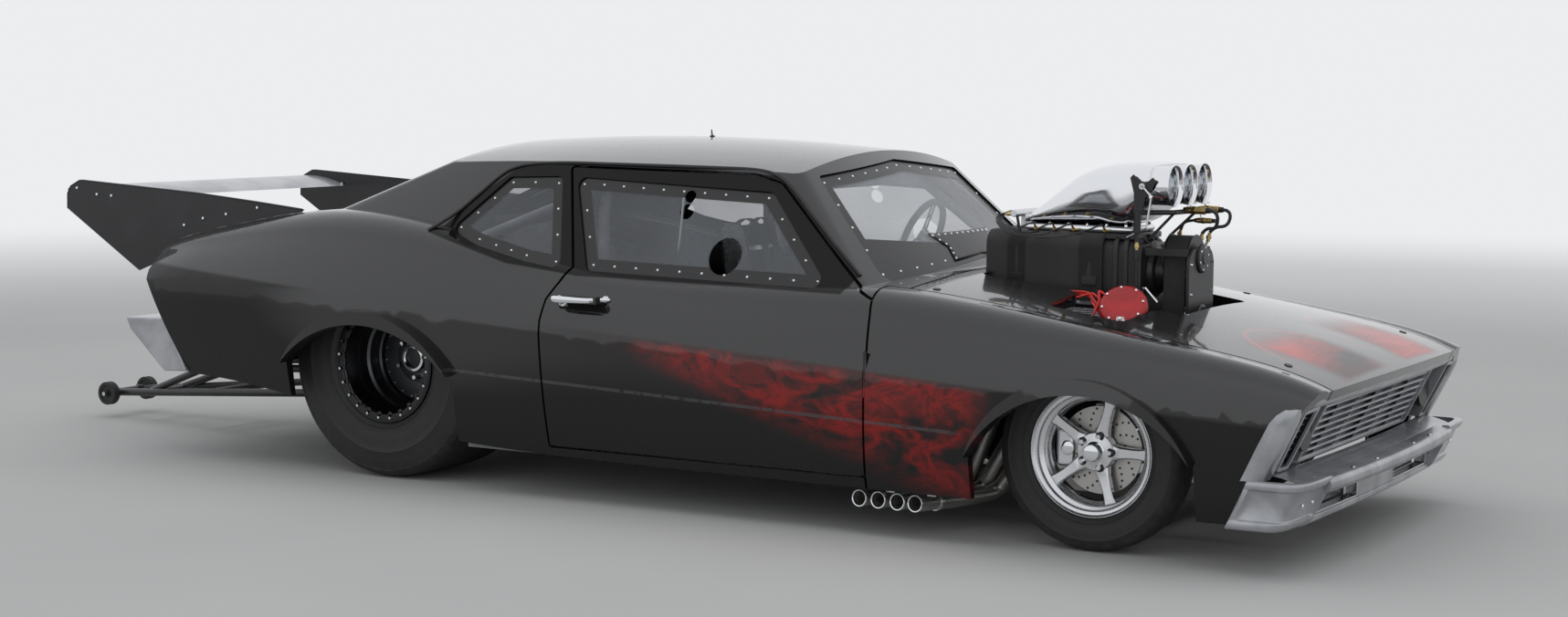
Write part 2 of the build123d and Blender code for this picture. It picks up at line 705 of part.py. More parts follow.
# Bumpers
with BuildPart() as front_bumper:
    for side in (-1, 1):
        with BuildSketch(Plane.XZ.offset(-side * 640)) as profile:
            with BuildLine():
                Polyline(
                    *[(ax(x), z) for x, z in ((515, 137), (578, 312), (765, 300), (740, 240), (690, 145))],
                    close=True,
                )
            make_face()
        extrude(amount=-side * 255)
        add(block(480, 700, side * 600, side * 800, 100, 330), mode=Mode.SUBTRACT)
    add(block(700, NOSE_REACH, -650, 650, 245, 296))
    add(block(640 + GAP, 702, -690, 690, 140, 250))
    for side in (-1, 1):
        add(block(600, 760, side * 285, side * 565, 168, 226), mode=Mode.SUBTRACT)
    for side in (-1, 1):
        add(block(NOSE_LEG_X + GAP, 702, side * 290, side * 350, 180 + GAP, 288))
finish_piece(front_bumper.part, "front_bumper")

with BuildPart() as rear_bumper:
    with BuildSketch(Plane.XZ.offset(860)) as profile:
        with BuildLine():
            Polyline(
                *[(ax(x), z) for x, z in ((-3690, 352), (-3835, 345), (-4010, 500), (-4032, 545), (-3790, 550))],
                close=True,
            )
        make_face()
    extrude(amount=-1720)
    add(block(-3975, -3860, -760, 760, 300, 526), mode=Mode.SUBTRACT)
    add(tail_prism(-GAP), mode=Mode.SUBTRACT)
finish_piece(rear_bumper.part, "rear_bumper")

with BuildPart() as tail_lamps:
    for side in (-1, 1):
        add(block(-3960, -3870, side * 420, side * 760, 600, 690))
    add(tail_prism(-GAP), mode=Mode.SUBTRACT)
finish_piece(tail_lamps.part, "tail_lamps")

# Rear wing
PLATE_Y, PLATE_T = 700, 5
PLATE = [(-3300, 940), (-3250, 985), (-3800, 1030), (-4430, 1065), (-4495, 1030), (-4500, 950), (-4110, 715), (-3960, 770), (-3850, 860)]
with BuildPart() as wing_plates:
    for side in (-1, 1):
        with BuildSketch(Plane.XZ.offset(-side * PLATE_Y)) as profile:
            with BuildLine():
                Polyline(*[(ax(x), z) for x, z in PLATE], close=True)
            make_face()
        extrude(amount=-side * PLATE_T)
    with BuildPart(mode=Mode.SUBTRACT):
        add(lower_form(-GAP))
        add(tail_prism(-GAP), mode=Mode.INTERSECT)
finish_piece(wing_plates.part, "wing_plates")
with BuildPart() as wing_blade:
    with BuildSketch(Plane.XZ.offset(PLATE_Y - GAP)) as profile:
        with BuildLine():
            Spline((ax(-4235), 1000), (ax(-4330), 1030), (ax(-4460), 1042))
            Spline((ax(-4235), 1000), (ax(-4330), 1004), (ax(-4460), 1036))
            Line((ax(-4460), 1042), (ax(-4460), 1036))
        make_face()
    extrude(amount=-2 * (PLATE_Y - GAP))
finish_piece(wing_blade.part, "wing_blade")

# Wheelie bar and its two wheels
BAR_R = 16
BAR_END_X = -TAIL_REACH + WHEELIE_WHEEL_R
with BuildPart() as wheelie_bar:
    for side in (-1, 1):
        add(tube([(BAR_END_X, side * 70, WHEELIE_WHEEL_Z), (-3600, side * 300, 215), (-2940, side * 300, 330)], BAR_R))
        add(block(-2985, -2879 - GAP, side * 281, side * 318, 308, 352))
        add(tube([(-4650, side * 98, 130), (-4300, side * 150, 255), (-3750, side * 250, 300), (-2960, side * 298, 345)], BAR_R))
    add(tube([(-4300, -150, 255), (-4300, 150, 255)], BAR_R))
    add(tube([(-4200, -190, 166), (-4200, 190, 166)], BAR_R))
    add(tube([(-4650, -110, 122), (-4650, 110, 122)], BAR_R))
    add(disc(BAR_END_X, 0, WHEELIE_WHEEL_Z, 9, 270))
    add(disc(BAR_END_X, 0, WHEELIE_WHEEL_Z, BAR_R, 170))
finish_piece(wheelie_bar.part, "wheelie_bar")
for side, name in ((-1, "right"), (1, "left")):
    with BuildPart() as small:
        add(disc(BAR_END_X, side * WHEELIE_WHEEL_Y, WHEELIE_WHEEL_Z, WHEELIE_WHEEL_R, WHEELIE_WHEEL_WIDTH))
        add(disc(BAR_END_X, side * WHEELIE_WHEEL_Y, WHEELIE_WHEEL_Z, 9 + GAP, 60), mode=Mode.SUBTRACT)
    finish_piece(small.part, f"wheelie_wheel_{name}")

# Engine, with the blower, its drive and the injector hat above it
with BuildPart() as engine_block:
    add(block(-640, -90, -200, 200, 190, 620))
    for side in (-1, 1):
        with BuildSketch(Plane.YZ.offset(ax(-630))) as bank:
            with BuildLine():
                Polyline(
                    (side * 90, 560), (side * 215, 700), (side * 340, 640), (side * 335, 560), (side * 190, 430),
                    close=True,
                )
            make_face()
        extrude(amount=520)
    add(block(-600, -120, -120, 120, 600, 725))
finish_piece(engine_block.part, "engine_block")

SHAFT_Z = 330
with BuildPart() as driveline:
    for x0, x1, r in ((-678, -640 - GAP, 185), (-1500, -670, 95), (-2619 + GAP, -1490, 40)):
        with BuildSketch(Plane.YZ.offset(ax(x0))):
            with Locations((0, SHAFT_Z)):
                Circle(r)
        extrude(amount=x1 - x0)
finish_piece(driveline.part, "driveline")

# Blower on the engine's top, its belt drive in front, injector hat above
BLOWER_X0, BLOWER_X1 = -652, -100
with BuildPart() as blower:
    with BuildSketch(Plane.YZ.offset(ax(BLOWER_X0))) as case:
        with BuildLine():
            Polyline(
                (-95, 725 + GAP), (95, 725 + GAP), (148, 800), (148, 900), (115, 975), (-115, 975),
                (-148, 900), (-148, 800), close=True,
            )
        make_face()
        fillet(case.vertices(), radius=18)
    extrude(amount=BLOWER_X1 - BLOWER_X0)
    for i in range(8):
        x = BLOWER_X0 + 65 + 65 * i
        add(block(x - 8, x + 8, -153, 153, 815, 885))
finish_piece(blower.part, "blower")

with BuildPart() as blower_drive:
    add(block(-100 + GAP, -84, -130, 130, 640, 940))
    for z, r, x1 in ((895, 66, 70), (450, 88, 70), (690, 34, 60)):
        with BuildSketch(Plane.YZ.offset(ax(-90))):
            with Locations((0 if z != 690 else 70, z)):
                Circle(r)
        extrude(amount=x1 + 90)
    with BuildSketch(Plane.YZ.offset(ax(-20))) as belt:
        with BuildLine():
            Polyline((-74, 895), (74, 895), (96, 450), (-96, 450), close=True)
        make_face()
    extrude(amount=76)
    with BuildSketch(Plane.YZ.offset(ax(72))):
        with Locations((0, 650)):
            RectangleRounded(230, 560, 60)
    extrude(amount=12)
    add(block(-90, 75, -12, 12, 500, 860))
finish_piece(blower_drive.part, "blower_drive")

MOUTH_Y, MOUTH_Z, MOUTH_R, MOUTH_FLOOR_X = 133, 1142, 62, -72
with BuildPart() as injector_hat:
    with BuildSketch(Plane.XY.offset(975 + GAP)) as base:
        with Locations((ax(-325), 0)):
            RectangleRounded(390, 226, 30)
    extrude(amount=34)
    with BuildSketch(Plane.XZ.offset(200)) as profile:
        with BuildLine():
            Polyline((ax(-546), 1005), (ax(-443), 1090), (ax(-342), 1171), (ax(-241), 1205), (ax(-107), 1217))
            Polyline((ax(-107), 1217), (ax(-60), 1214), (ax(-60), 1070), (ax(-130), 1005), (ax(-546), 1005))
        make_face()
    extrude(amount=-400)
    hat_plan = [(-560, -96), (-470, -104), (-150, -200), (-50, -203), (-50, 203), (-150, 200), (-470, 104), (-560, 96)]
    add(plan_prism(hat_plan, 900, 1400), mode=Mode.INTERSECT)
    for y in (-MOUTH_Y, 0, MOUTH_Y):
        with BuildSketch(Plane.YZ.offset(ax(-110))):
            with Locations((y, MOUTH_Z)):
                Circle(MOUTH_R + 6)
        extrude(amount=150)
    for y in (-MOUTH_Y, 0, MOUTH_Y):
        with BuildSketch(Plane.YZ.offset(ax(MOUTH_FLOOR_X))):
            with Locations((y, MOUTH_Z)):
                Circle(MOUTH_R)
        extrude(amount=120, mode=Mode.SUBTRACT)
        with Locations(Location((ax(37), y, MOUTH_Z), (0, 90, 0))):
            Cone(MOUTH_R, MOUTH_R + 4, 6.02, mode=Mode.SUBTRACT)
        with Locations(Location((ax(MOUTH_FLOOR_X - 10), y, MOUTH_Z), (0, 90, 0))):
            Cone(24, MOUTH_R, 20.02, mode=Mode.SUBTRACT)
finish_piece(injector_hat.part, "injector_hat")

with BuildPart() as magneto:
    tilt = Plane(origin=(ax(-85), -215, 660), z_dir=(0.15, -0.75, 0.62))
    for start, r, h in ((0, 38, 70), (65, 60, 60), (120, 82, 40)):
        with BuildSketch(tilt.offset(start)):
            Circle(r)
        extrude(amount=h)
    add(block(-150, -60, -235, -131, 600, 690))
    add(block(-200, -89.7, -300, -100, 500, 760), mode=Mode.SUBTRACT)
finish_piece(magneto.part, "magneto")

# Exhausts: four pipes each side from the head's flange, down and out under the sill
PIPE_R, PIPE_WALL = 27, 3
TIP_X = (-750, -680, -610, -545)
PORT_X = (-560, -435, -310, -185)
DROP_X = (-640, -580, -520, -460)
TIP_Z = 127
with BuildPart() as exhausts:
    for side in (-1, 1):
        add(block(-620, -120, side * (340 + GAP), side * 352, 570, 632))
        for x, port, drop in zip(TIP_X, PORT_X, DROP_X):
            bend = (drop, side * 435, 112)
            run = [(port, side * 350, 600), (port, side * 385, 585), (port, side * 425, 480), bend]
            add(tube(run + [(x + 20, side * 640, TIP_Z - 18), (x, side * 868, TIP_Z)], PIPE_R, 50))
    for side in (-1, 1):
        for x in TIP_X:
            axis = Vector(-20, side * 228, 18)
            tip = Plane(origin=(ax(x), side * 868, TIP_Z), z_dir=-axis)
            with BuildSketch(tip):
                Circle(PIPE_R - PIPE_WALL)
            extrude(amount=150, mode=Mode.SUBTRACT)
            with Locations(tip.offset(2.99).location):
                Cone(PIPE_R - 1, PIPE_R - PIPE_WALL, 6, mode=Mode.SUBTRACT)
            with Locations(tip.offset(157.99).location):
                Cone(PIPE_R - PIPE_WALL, 8, 16, mode=Mode.SUBTRACT)
finish_piece(exhausts.part, "exhausts")

# Rear axle and its links
REAR_HUB_Y = 500
with BuildPart() as rear_axle:
    add(disc(REAR_AXLE, 0, REAR_TYRE_R, 42, 2 * (REAR_HUB_Y - 30)))
    with Locations((ax(REAR_AXLE), 0, REAR_TYRE_R)):
        Sphere(145)
    with BuildSketch(Plane.YZ.offset(ax(REAR_AXLE + 130))):
        with Locations((0, SHAFT_Z)):
            Circle(55)
    extrude(amount=70)
    add(disc(REAR_AXLE, 0, REAR_TYRE_R, HUB_BORE_R - GAP, 2 * (REAR_HUB_Y + 40)))
    for side in (-1, 1):
        add(disc(REAR_AXLE, side * 455, REAR_TYRE_R, 75, 26))
finish_piece(rear_axle.part, "rear_axle")

with BuildPart() as rear_suspension:
    for side in (-1, 1):
        y = side * 285
        add(block(REAR_AXLE - 60, REAR_AXLE + 60, y - 6, y + 6, 300, 500))
        add(disc(REAR_AXLE, y, REAR_TYRE_R, 42 + GAP, 80), mode=Mode.SUBTRACT)
        add(tube([(-2780, y, 345), (-2000, y, 230)], 15))
        add(tube([(-2780, y, 470), (-2000, y, 230)], 15))
        add(block(-2040, -1960, y - 30, y + 30, 180.3, 250))
finish_piece(rear_suspension.part, "rear_suspension")

# Wheels: a revolved barrel with a centre, and a tyre that sits on it
FLANGE = 6


def rim_barrel(radius, width):
    """Radius and outboard distance of a rim's barrel and its two flanges."""
    bead, skin = radius - 17, 6
    h = width / 2
    return [
        (bead - skin, -h), (radius, -h), (radius, -h + FLANGE), (bead, -h + FLANGE),
        (bead, h - FLANGE), (radius, h - FLANGE), (radius, h), (bead - skin, h),
    ]


def tyre_ring(radius, width, rim_r, rim_width, crown, shoulder):
    """Radius and outboard distance of a tyre section seated between the rim's flanges."""
    bead = rim_r - 17 + GAP
    b = rim_width / 2 - FLANGE - GAP
    h = width / 2
    right = [
        (bead, b), (rim_r + 2, b), (rim_r + 12, b + (h - b) * 0.55), (rim_r + (radius - rim_r) * 0.35, h - 1),
        (rim_r + (radius - rim_r) * 0.55, h), (radius - shoulder, h - 5), (radius - 7, crown + 8), (radius, crown - 6),
    ]
    return right + [(r, -y) for r, y in reversed(right)]


front_ring = tyre_ring(FRONT_TYRE_R, FRONT_TYRE_WIDTH, FRONT_RIM_R, FRONT_RIM_WIDTH, 54, 26)
rear_ring = tyre_ring(REAR_TYRE_R, REAR_TYRE_WIDTH, REAR_RIM_R, REAR_RIM_WIDTH, 196, 34)
SPOKES = 5
for side, name in ((-1, "right"), (1, "left")):
    y = side * FRONT_WHEEL_Y
    with BuildPart() as front_rim:
        add(ring(rim_barrel(FRONT_RIM_R, FRONT_RIM_WIDTH)))
        with Locations(Location((0, 18, 0), (90, 0, 0))):
            Cylinder(radius=64, height=40)
        for i in range(SPOKES):
            with Locations(Location((0, 0, 0), (0, 90 + 360 / SPOKES * i, 0)) * Location((120, 22, 0))):
                Box(138, 20, 46)
        with Locations(Location((0, -12, 0), (90, 0, 0))):
            Cylinder(radius=132, height=8)
            Cylinder(radius=70, height=30)
        with Locations(Location((0, -30, 0), (90, 0, 0))):
            Cylinder(radius=HUB_BORE_R, height=96, mode=Mode.SUBTRACT)
    finish_piece(place_wheel(front_rim.part, 0, y, FRONT_TYRE_R, side), f"front_rim_{name}")
    finish_piece(place_wheel(ring(front_ring), 0, y, FRONT_TYRE_R, side), f"front_tyre_{name}")

    y = side * REAR_WHEEL_Y
    with BuildPart() as rear_rim:
        add(ring(rim_barrel(REAR_RIM_R, REAR_RIM_WIDTH)))
        with Locations(Location((0, -40, 0), (90, 0, 0))):
            Cylinder(radius=202, height=14)
            Cylinder(radius=78, height=50)
        with Locations(Location((0, -60, 0), (90, 0, 0))):
            Cylinder(radius=HUB_BORE_R, height=80, mode=Mode.SUBTRACT)
    finish_piece(place_wheel(rear_rim.part, REAR_AXLE, y, REAR_TYRE_R, side), f"rear_rim_{name}")
    finish_piece(place_wheel(ring(rear_ring), REAR_AXLE, y, REAR_TYRE_R, side), f"rear_tyre_{name}")

    # Steered upright with its spindle and brake caliper
    with BuildPart() as knuckle:
        inner_y, outer_y = KINGPIN_Y - 25, FRONT_WHEEL_Y + 10
        mid = side * (inner_y + outer_y) / 2
        add(disc(0, mid, FRONT_TYRE_R, HUB_BORE_R - GAP, outer_y - inner_y))
        add(block(-32, 32, side * (KINGPIN_Y - 22), side * (KINGPIN_Y + 22), 215, 460))
        add(block(-150, -95, side * (FRONT_WHEEL_Y - 40), side * (FRONT_WHEEL_Y - 26), 290, 390))
        add(block(-130, -20, side * (KINGPIN_Y - 10), side * (KINGPIN_Y + 20), 330, 360))
        add(block(-145, -100, side * (KINGPIN_Y - 10), side * (FRONT_WHEEL_Y - 28), 300, 380))
    finish_piece(knuckle.part, f"knuckle_{name}")

# Front suspension: crossmember, arms and struts, all inboard of the steered tyres
with BuildPart() as front_suspension:
    add(block(-45, 45, -430, 430, 130, 180))
    for side in (-1, 1):
        add(block(-680 + GAP, 640, side * 300, side * 360, 130, 180))
        add(block(-25, 25, side * 400, side * 600, 170, 200))
        with BuildSketch(Plane.XY.offset(200)):
            with Locations((ax(0), side * KINGPIN_Y)):
                Circle(16)
        extrude(amount=15 - GAP)
        add(tube([(0, side * 572, 458), (0, side * 505, 645)], 24))
        add(block(-40, 40, side * 540, side * 600, 440, 460 + GAP), mode=Mode.SUBTRACT)
        with BuildPart():
            add(block(-60, 60, side * 470, side * 900, 640, 652))
            add(inner_fit, mode=Mode.INTERSECT)
finish_piece(front_suspension.part, "front_suspension")
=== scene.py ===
"""Looks for a two-door drag racing coupe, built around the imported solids. Lengths are in metres."""

import bmesh
import bpy
import math
from mathutils import Matrix, Vector
from mathutils.bvhtree import BVHTree


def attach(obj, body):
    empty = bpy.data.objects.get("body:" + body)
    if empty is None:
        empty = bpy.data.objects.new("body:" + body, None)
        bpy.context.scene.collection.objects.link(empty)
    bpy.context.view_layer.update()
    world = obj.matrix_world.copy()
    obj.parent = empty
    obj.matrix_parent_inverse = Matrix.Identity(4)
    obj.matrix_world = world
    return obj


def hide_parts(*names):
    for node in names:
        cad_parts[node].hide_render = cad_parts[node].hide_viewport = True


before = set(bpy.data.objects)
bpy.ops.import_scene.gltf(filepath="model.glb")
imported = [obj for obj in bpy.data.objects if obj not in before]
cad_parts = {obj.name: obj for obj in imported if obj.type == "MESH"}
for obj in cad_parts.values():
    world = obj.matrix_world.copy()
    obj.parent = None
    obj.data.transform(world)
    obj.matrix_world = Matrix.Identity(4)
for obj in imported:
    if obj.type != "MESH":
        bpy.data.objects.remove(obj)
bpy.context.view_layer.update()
AXLE = 2.075  # the front axle's X; places below count from it
REAR = -2.819  # the rear axle, from the front one
SIDES = (("right", -1), ("left", 1))
CAR = "car"
TURN = 2 * math.pi


def at(x, y, z):
    return Vector((AXLE + x, y, z))


def linked(name, data):
    """A new object in the scene."""
    made = bpy.data.objects.new(name, data)
    bpy.context.scene.collection.objects.link(made)
    return made


# Camera of the photograph
def photo_camera():
    yaw, pitch, roll = 2.10056595, 0.0928684, 0.0057194
    ahead = Vector((math.cos(pitch) * math.cos(yaw), math.cos(pitch) * math.sin(yaw), -math.sin(pitch)))
    right = Vector((math.sin(yaw), -math.cos(yaw), 0))
    up = right.cross(ahead)
    turned_right = math.cos(roll) * right + math.sin(roll) * up
    turned_up = -math.sin(roll) * right + math.cos(roll) * up
    data = bpy.data.cameras.new("photo_camera")
    data.sensor_width = 36.0
    data.lens = 2733.70 / 1717 * 36.0
    camera = linked("photo_camera", data)
    axes = Matrix((turned_right, turned_up, -ahead)).transposed().to_4x4()
    camera.matrix_world = Matrix.Translation(at(3.1117, -7.9563, 1.4994)) @ axes
    bpy.context.scene.camera = camera


photo_camera()


# Finishes
class Value:
    """A number on a surface, for use in sums like any other number."""

    def __init__(self, finish, socket):
        self.finish, self.socket = finish, socket

    def maths(self, operation, *others):
        return Value(self.finish, self.finish.node("Math", {"operation": operation}, *others).outputs[0])

    def __add__(self, other):
        return self.maths("ADD", self, other)

    def __sub__(self, other):
        return self.maths("SUBTRACT", self, other)

    def __rsub__(self, other):
        return self.maths("SUBTRACT", other, self)

    def __mul__(self, other):
        return self.maths("MULTIPLY", self, other)

    def low(self, other):
        return self.maths("MINIMUM", self, other)

    def high(self, other):
        return self.maths("MAXIMUM", self, other)

    def size(self):
        return self.maths("ABSOLUTE", self)

    def wave(self):
        return self.maths("SINE", self)

    def power(self, other):
        return self.maths("POWER", self, other)

    def fade(self, start, end):
        """0 before start, 1 after end, smooth between."""
        settings = {"interpolation_type": "SMOOTHSTEP"}
        made = self.finish.node("MapRange", settings, self, start, end, 0.0, 1.0)
        return Value(self.finish, made.outputs[0])


class Finish:
    """A material on one shader, with the nodes that vary it over the surface."""

    def __init__(self, name, colour, rough=0.5, metal=0.0, **sockets):
        self.material = bpy.data.materials.new(name)
        self.material.use_nodes = True
        self.tree = self.material.node_tree
        self.shader = self.tree.nodes["Principled BSDF"]
        self.set(Base_Color=colour, Roughness=rough, Metallic=metal, **sockets)

    def node(self, kind, settings=None, *values, **named):
        made = self.tree.nodes.new("ShaderNode" + kind)
        for key, value in (settings or {}).items():
            setattr(made, key, value)
        for i, value in enumerate(values):
            self.feed(made.inputs[i], value)
        for key, value in named.items():
            self.feed(made.inputs[key], value)
        return made

    def feed(self, socket, value):
        if isinstance(value, Value):
            value = value.socket
        if isinstance(value, bpy.types.NodeSocket):
            self.tree.links.new(value, socket)
        elif isinstance(value, tuple) and socket.type == "RGBA":
            socket.default_value = (*value, 1.0)
        else:
            socket.default_value = value

    def set(self, **sockets):
        for key, value in sockets.items():
            self.feed(self.shader.inputs[key.replace("_", " ")], value)

    def place(self):
        return self.node("TexCoord").outputs["Object"]

    def axes(self):
        made = self.node("SeparateXYZ", None, self.place())
        return [Value(self, made.outputs[i]) for i in range(3)]

    def noise(self, scale, detail=3.0, rough=0.5, where=None, distort=0.0):
        sockets = dict(Scale=scale, Detail=detail, Roughness=rough, Distortion=distort)
        made = self.node("TexNoise", None, Vector=where or self.place(), **sockets)
        return Value(self, made.outputs[0])

    def mix(self, factor, first, second):
        made = self.node("Mix", {"data_type": "RGBA"})
        for i, value in ((0, factor), (6, first), (7, second)):
            self.feed(made.inputs[i], value)
        return made.outputs[2]

    def bump(self, height, depth):
        self.set(Normal=self.node("Bump", None, Strength=1.0, Distance=depth, Height=height).outputs[0])


def turning(outline):
    """1 for a flat outline that runs anticlockwise, -1 for one that runs clockwise."""
    return 1 if sum(p[0] * q[1] - q[0] * p[1] for p, q in zip(outline, outline[1:] + outline[:1])) > 0 else -1


def distance_inside(across, upward, outline):
    """How far a point lies inside a convex outline, from two of its coordinates."""
    nearest, turn = None, turning(outline)
    for p, q in zip(outline, outline[1:] + outline[:1]):
        length = math.hypot(q[0] - p[0], q[1] - p[1])
        nx, nz = -turn * (q[1] - p[1]) / length, turn * (q[0] - p[0]) / length
        gap = across * nx + upward * nz - (p[0] * nx + p[1] * nz)
        nearest = gap if nearest is None else nearest.low(gap)
    return nearest


# Shapes: each is a list of points and a list of faces
def piece(name, mesh, finish, body=CAR, smooth=35.0, replaces=(), slot=None):
    """A finished piece from a mesh, riding on its body."""
    mesh.name = name
    if not mesh.materials:
        mesh.materials.append(finish.material)
    made = linked(name, mesh)
    mesh.update()
    if smooth:
        mesh.shade_smooth()
        mesh.set_sharp_from_angle(angle=math.radians(smooth))
    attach(made, body)
    if replaces:
        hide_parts(*replaces)
    return made


def mesh_from(name, verts, faces):
    mesh = bpy.data.meshes.new(name)
    mesh.from_pydata([tuple(v) for v in verts], [], faces)
    return mesh


def evaluated(holder):
    """The mesh that an object shows, as new data."""
    return bpy.data.meshes.new_from_object(holder.evaluated_get(bpy.context.evaluated_depsgraph_get()))


def rounded_edges(made, width, segments, angle):
    edge = made.modifiers.new("edges", "BEVEL")
    edge.width, edge.segments, edge.limit_method = width, segments, "ANGLE"
    edge.angle_limit = math.radians(angle)


def walled(made, thick, offset):
    wall = made.modifiers.new("thickness", "SOLIDIFY")
    wall.thickness, wall.offset = thick, offset


def solid(name, finish, parts, body=CAR, bevel=0.0, levels=0, smooth=35.0, segments=2, merge=0.000005,
          **more):
    """A piece from one or several shapes, with rounded edges or a subdivided skin if asked."""
    verts, faces = [], []
    for some_verts, some_faces in parts:
        faces += [[i + len(verts) for i in face] for face in some_faces]
        verts += some_verts
    mesh, work = mesh_from(name, verts, faces), bmesh.new()
    work.from_mesh(mesh)
    bmesh.ops.remove_doubles(work, verts=work.verts, dist=merge)
    bmesh.ops.recalc_face_normals(work, faces=work.faces)
    work.to_mesh(mesh)
    work.free()
    made = piece(name, mesh, finish, body, smooth, **more)
    if bevel:
        rounded_edges(made, bevel, segments, 40)
    if levels:
        skin = made.modifiers.new("skin", "SUBSURF")
        skin.levels = skin.render_levels = levels
    return made


def circle(radius, count, start=0.0):
    """Points round a circle: pairs of cosine and sine lengths."""
    turns = [start + TURN * i / count for i in range(count)]
    return [(radius * math.cos(a), radius * math.sin(a)) for a in turns]


def about(axis, along, first, second):
    """A place from its distance along an axis and its two distances from it."""
    spots = {"X": (along, first, second), "Y": (second, along, first), "Z": (first, second, along)}
    return Vector(spots[axis])


def circle_spots(centre, radius, count, axis="Y", start=0.0):
    """Points round a circle about one of the axes."""
    return [centre + about(axis, 0, c, s) for c, s in circle(radius, count, start)]


def tube_faces(columns, rows, closed=True):
    """Faces between closed columns of points; with closed, the last column joins the first."""
    faces = []
    for i in range(columns if closed else columns - 1):
        a, b = i * rows, (i + 1) % columns * rows
        faces += [[a + k, a + (k + 1) % rows, b + (k + 1) % rows, b + k] for k in range(rows)]
    return faces


def lathe(profile, centre=Vector(), axis="Y", count=96):
    """A profile of (radius, distance along the axis) turned about it."""
    verts = [centre + about(axis, d, r * c, r * s) for c, s in circle(1, count) for r, d in profile]
    return verts, tube_faces(count, len(profile))


def box(low, high):
    """A box between two opposite corners."""
    across, over, up = zip(low, high)
    verts = [Vector((x, y, z)) for x in across for y in over for z in up]
    return verts, [[0, 1, 3, 2], [4, 6, 7, 5], [0, 4, 5, 1], [2, 3, 7, 6], [0, 2, 6, 4], [1, 5, 7, 3]]


def rings(stations):
    """A skin through rings that have equal counts, closed by flat ends."""
    n, last = len(stations[0]), (len(stations) - 1) * len(stations[0])
    verts = [Vector(p) for ring in stations for p in ring]
    faces = []
    for start in range(0, last, n):
        for i in range(n):
            j = (i + 1) % n
            faces.append([start + i, start + j, start + n + j, start + n + i])
    return verts, faces + [list(range(n))[::-1], [last + i for i in range(n)]]


def rod(start, end, radius, count=16, end_radius=None):
    """A round rod with flat ends."""
    start, end = Vector(start), Vector(end)
    turn = (end - start).to_track_quat("Z", "Y")
    loops = []
    for spot, r in ((start, radius), (end, radius if end_radius is None else end_radius)):
        loops.append([spot + turn @ Vector((c, s, 0)) for c, s in circle(r, count)])
    return rings(loops)


def prism(axis, low, high, outline):
    """A flat outline carried along an axis, its pairs being the other two places in order."""
    slot = "XYZ".index(axis)
    return rings([[at(*p[:slot], level, *p[slot:]) for p in outline] for level in (low, high)])


def oblong(x0, x1, y0, y1):
    return [(x0, y0), (x1, y0), (x1, y1), (x0, y1)]


def sheet_faces(rows, columns):
    """Faces between rows of points."""
    n = columns
    return [[i * n + k, i * n + k + 1, (i + 1) * n + k + 1, (i + 1) * n + k]
            for i in range(rows - 1) for k in range(columns - 1)]


def moved(place, shape):
    return [place @ Vector(v) for v in shape[0]], shape[1]


def spun(name, finish, profile, centre, axis="X", count=48, **more):
    """A piece turned about an axis."""
    solid(name, finish, [lathe(profile, centre, axis, count)], **more)


def rods(name, finish, runs, bevel=0.0):
    """A piece of rods from rows of start, end, radius, sides and end radius, counted from the front axle."""
    parts = [rod(at(*start), at(*end), *sizes) for start, end, *sizes in runs]
    solid(name, finish, parts, bevel=bevel)


def smooth_curve(name, points, order, resolution):
    """A curve near the points, not yet thick."""
    curve = bpy.data.curves.new(name, "CURVE")
    curve.dimensions, curve.resolution_u, curve.use_fill_caps = "3D", resolution, True
    spline = curve.splines.new("NURBS")
    spline.points.add(len(points) - 1)
    for spot, place in zip(spline.points, points):
        spot.co = (*place, 1.0)
    spline.order_u, spline.use_endpoint_u = order, True
    return linked(name, curve)


def wire(points, radius, sides, order=3):
    """A round wire along a smooth curve near the points."""
    holder = smooth_curve("run", points, order, 8)
    curve = holder.data
    curve.bevel_depth, curve.bevel_resolution = radius, sides // 4
    made = evaluated(holder)
    shape = [v.co.copy() for v in made.vertices], [list(f.vertices) for f in made.polygons]
    bpy.data.objects.remove(holder)
    bpy.data.meshes.remove(made)
    bpy.data.curves.remove(curve)
    return shape


def dressed(node, finish, slot, body=CAR, soften=0.0):
    """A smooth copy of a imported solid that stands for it, in the finish given, its edges rounded if asked."""
    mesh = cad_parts[node].data.copy()
    mesh.materials.clear()
    work = bmesh.new()
    work.from_mesh(mesh)
    bmesh.ops.remove_doubles(work, verts=work.verts, dist=0.00002)
    if soften:
        bmesh.ops.dissolve_limit(work, angle_limit=math.radians(0.6), verts=work.verts, edges=work.edges)
    work.to_mesh(mesh)
    work.free()
    if mesh.has_custom_normals:
        mesh.attributes.remove(mesh.attributes["custom_normal"])
    made = piece(node + "_skin", mesh, finish, body, 32, (node,), slot)
    if soften:
        rounded_edges(made, soften, 3, 35)


# Studs: a node tree that sets a round or hexagonal head on each point
def add_node(tree, kind, settings=None, inputs=None):
    made = tree.nodes.new(kind)
    for key, value in (settings or {}).items():
        setattr(made, key, value)
    for key, value in (inputs or {}).items():
        if isinstance(value, bpy.types.NodeSocket):
            tree.links.new(value, made.inputs[key])
        else:
            made.inputs[key].default_value = value
    return made


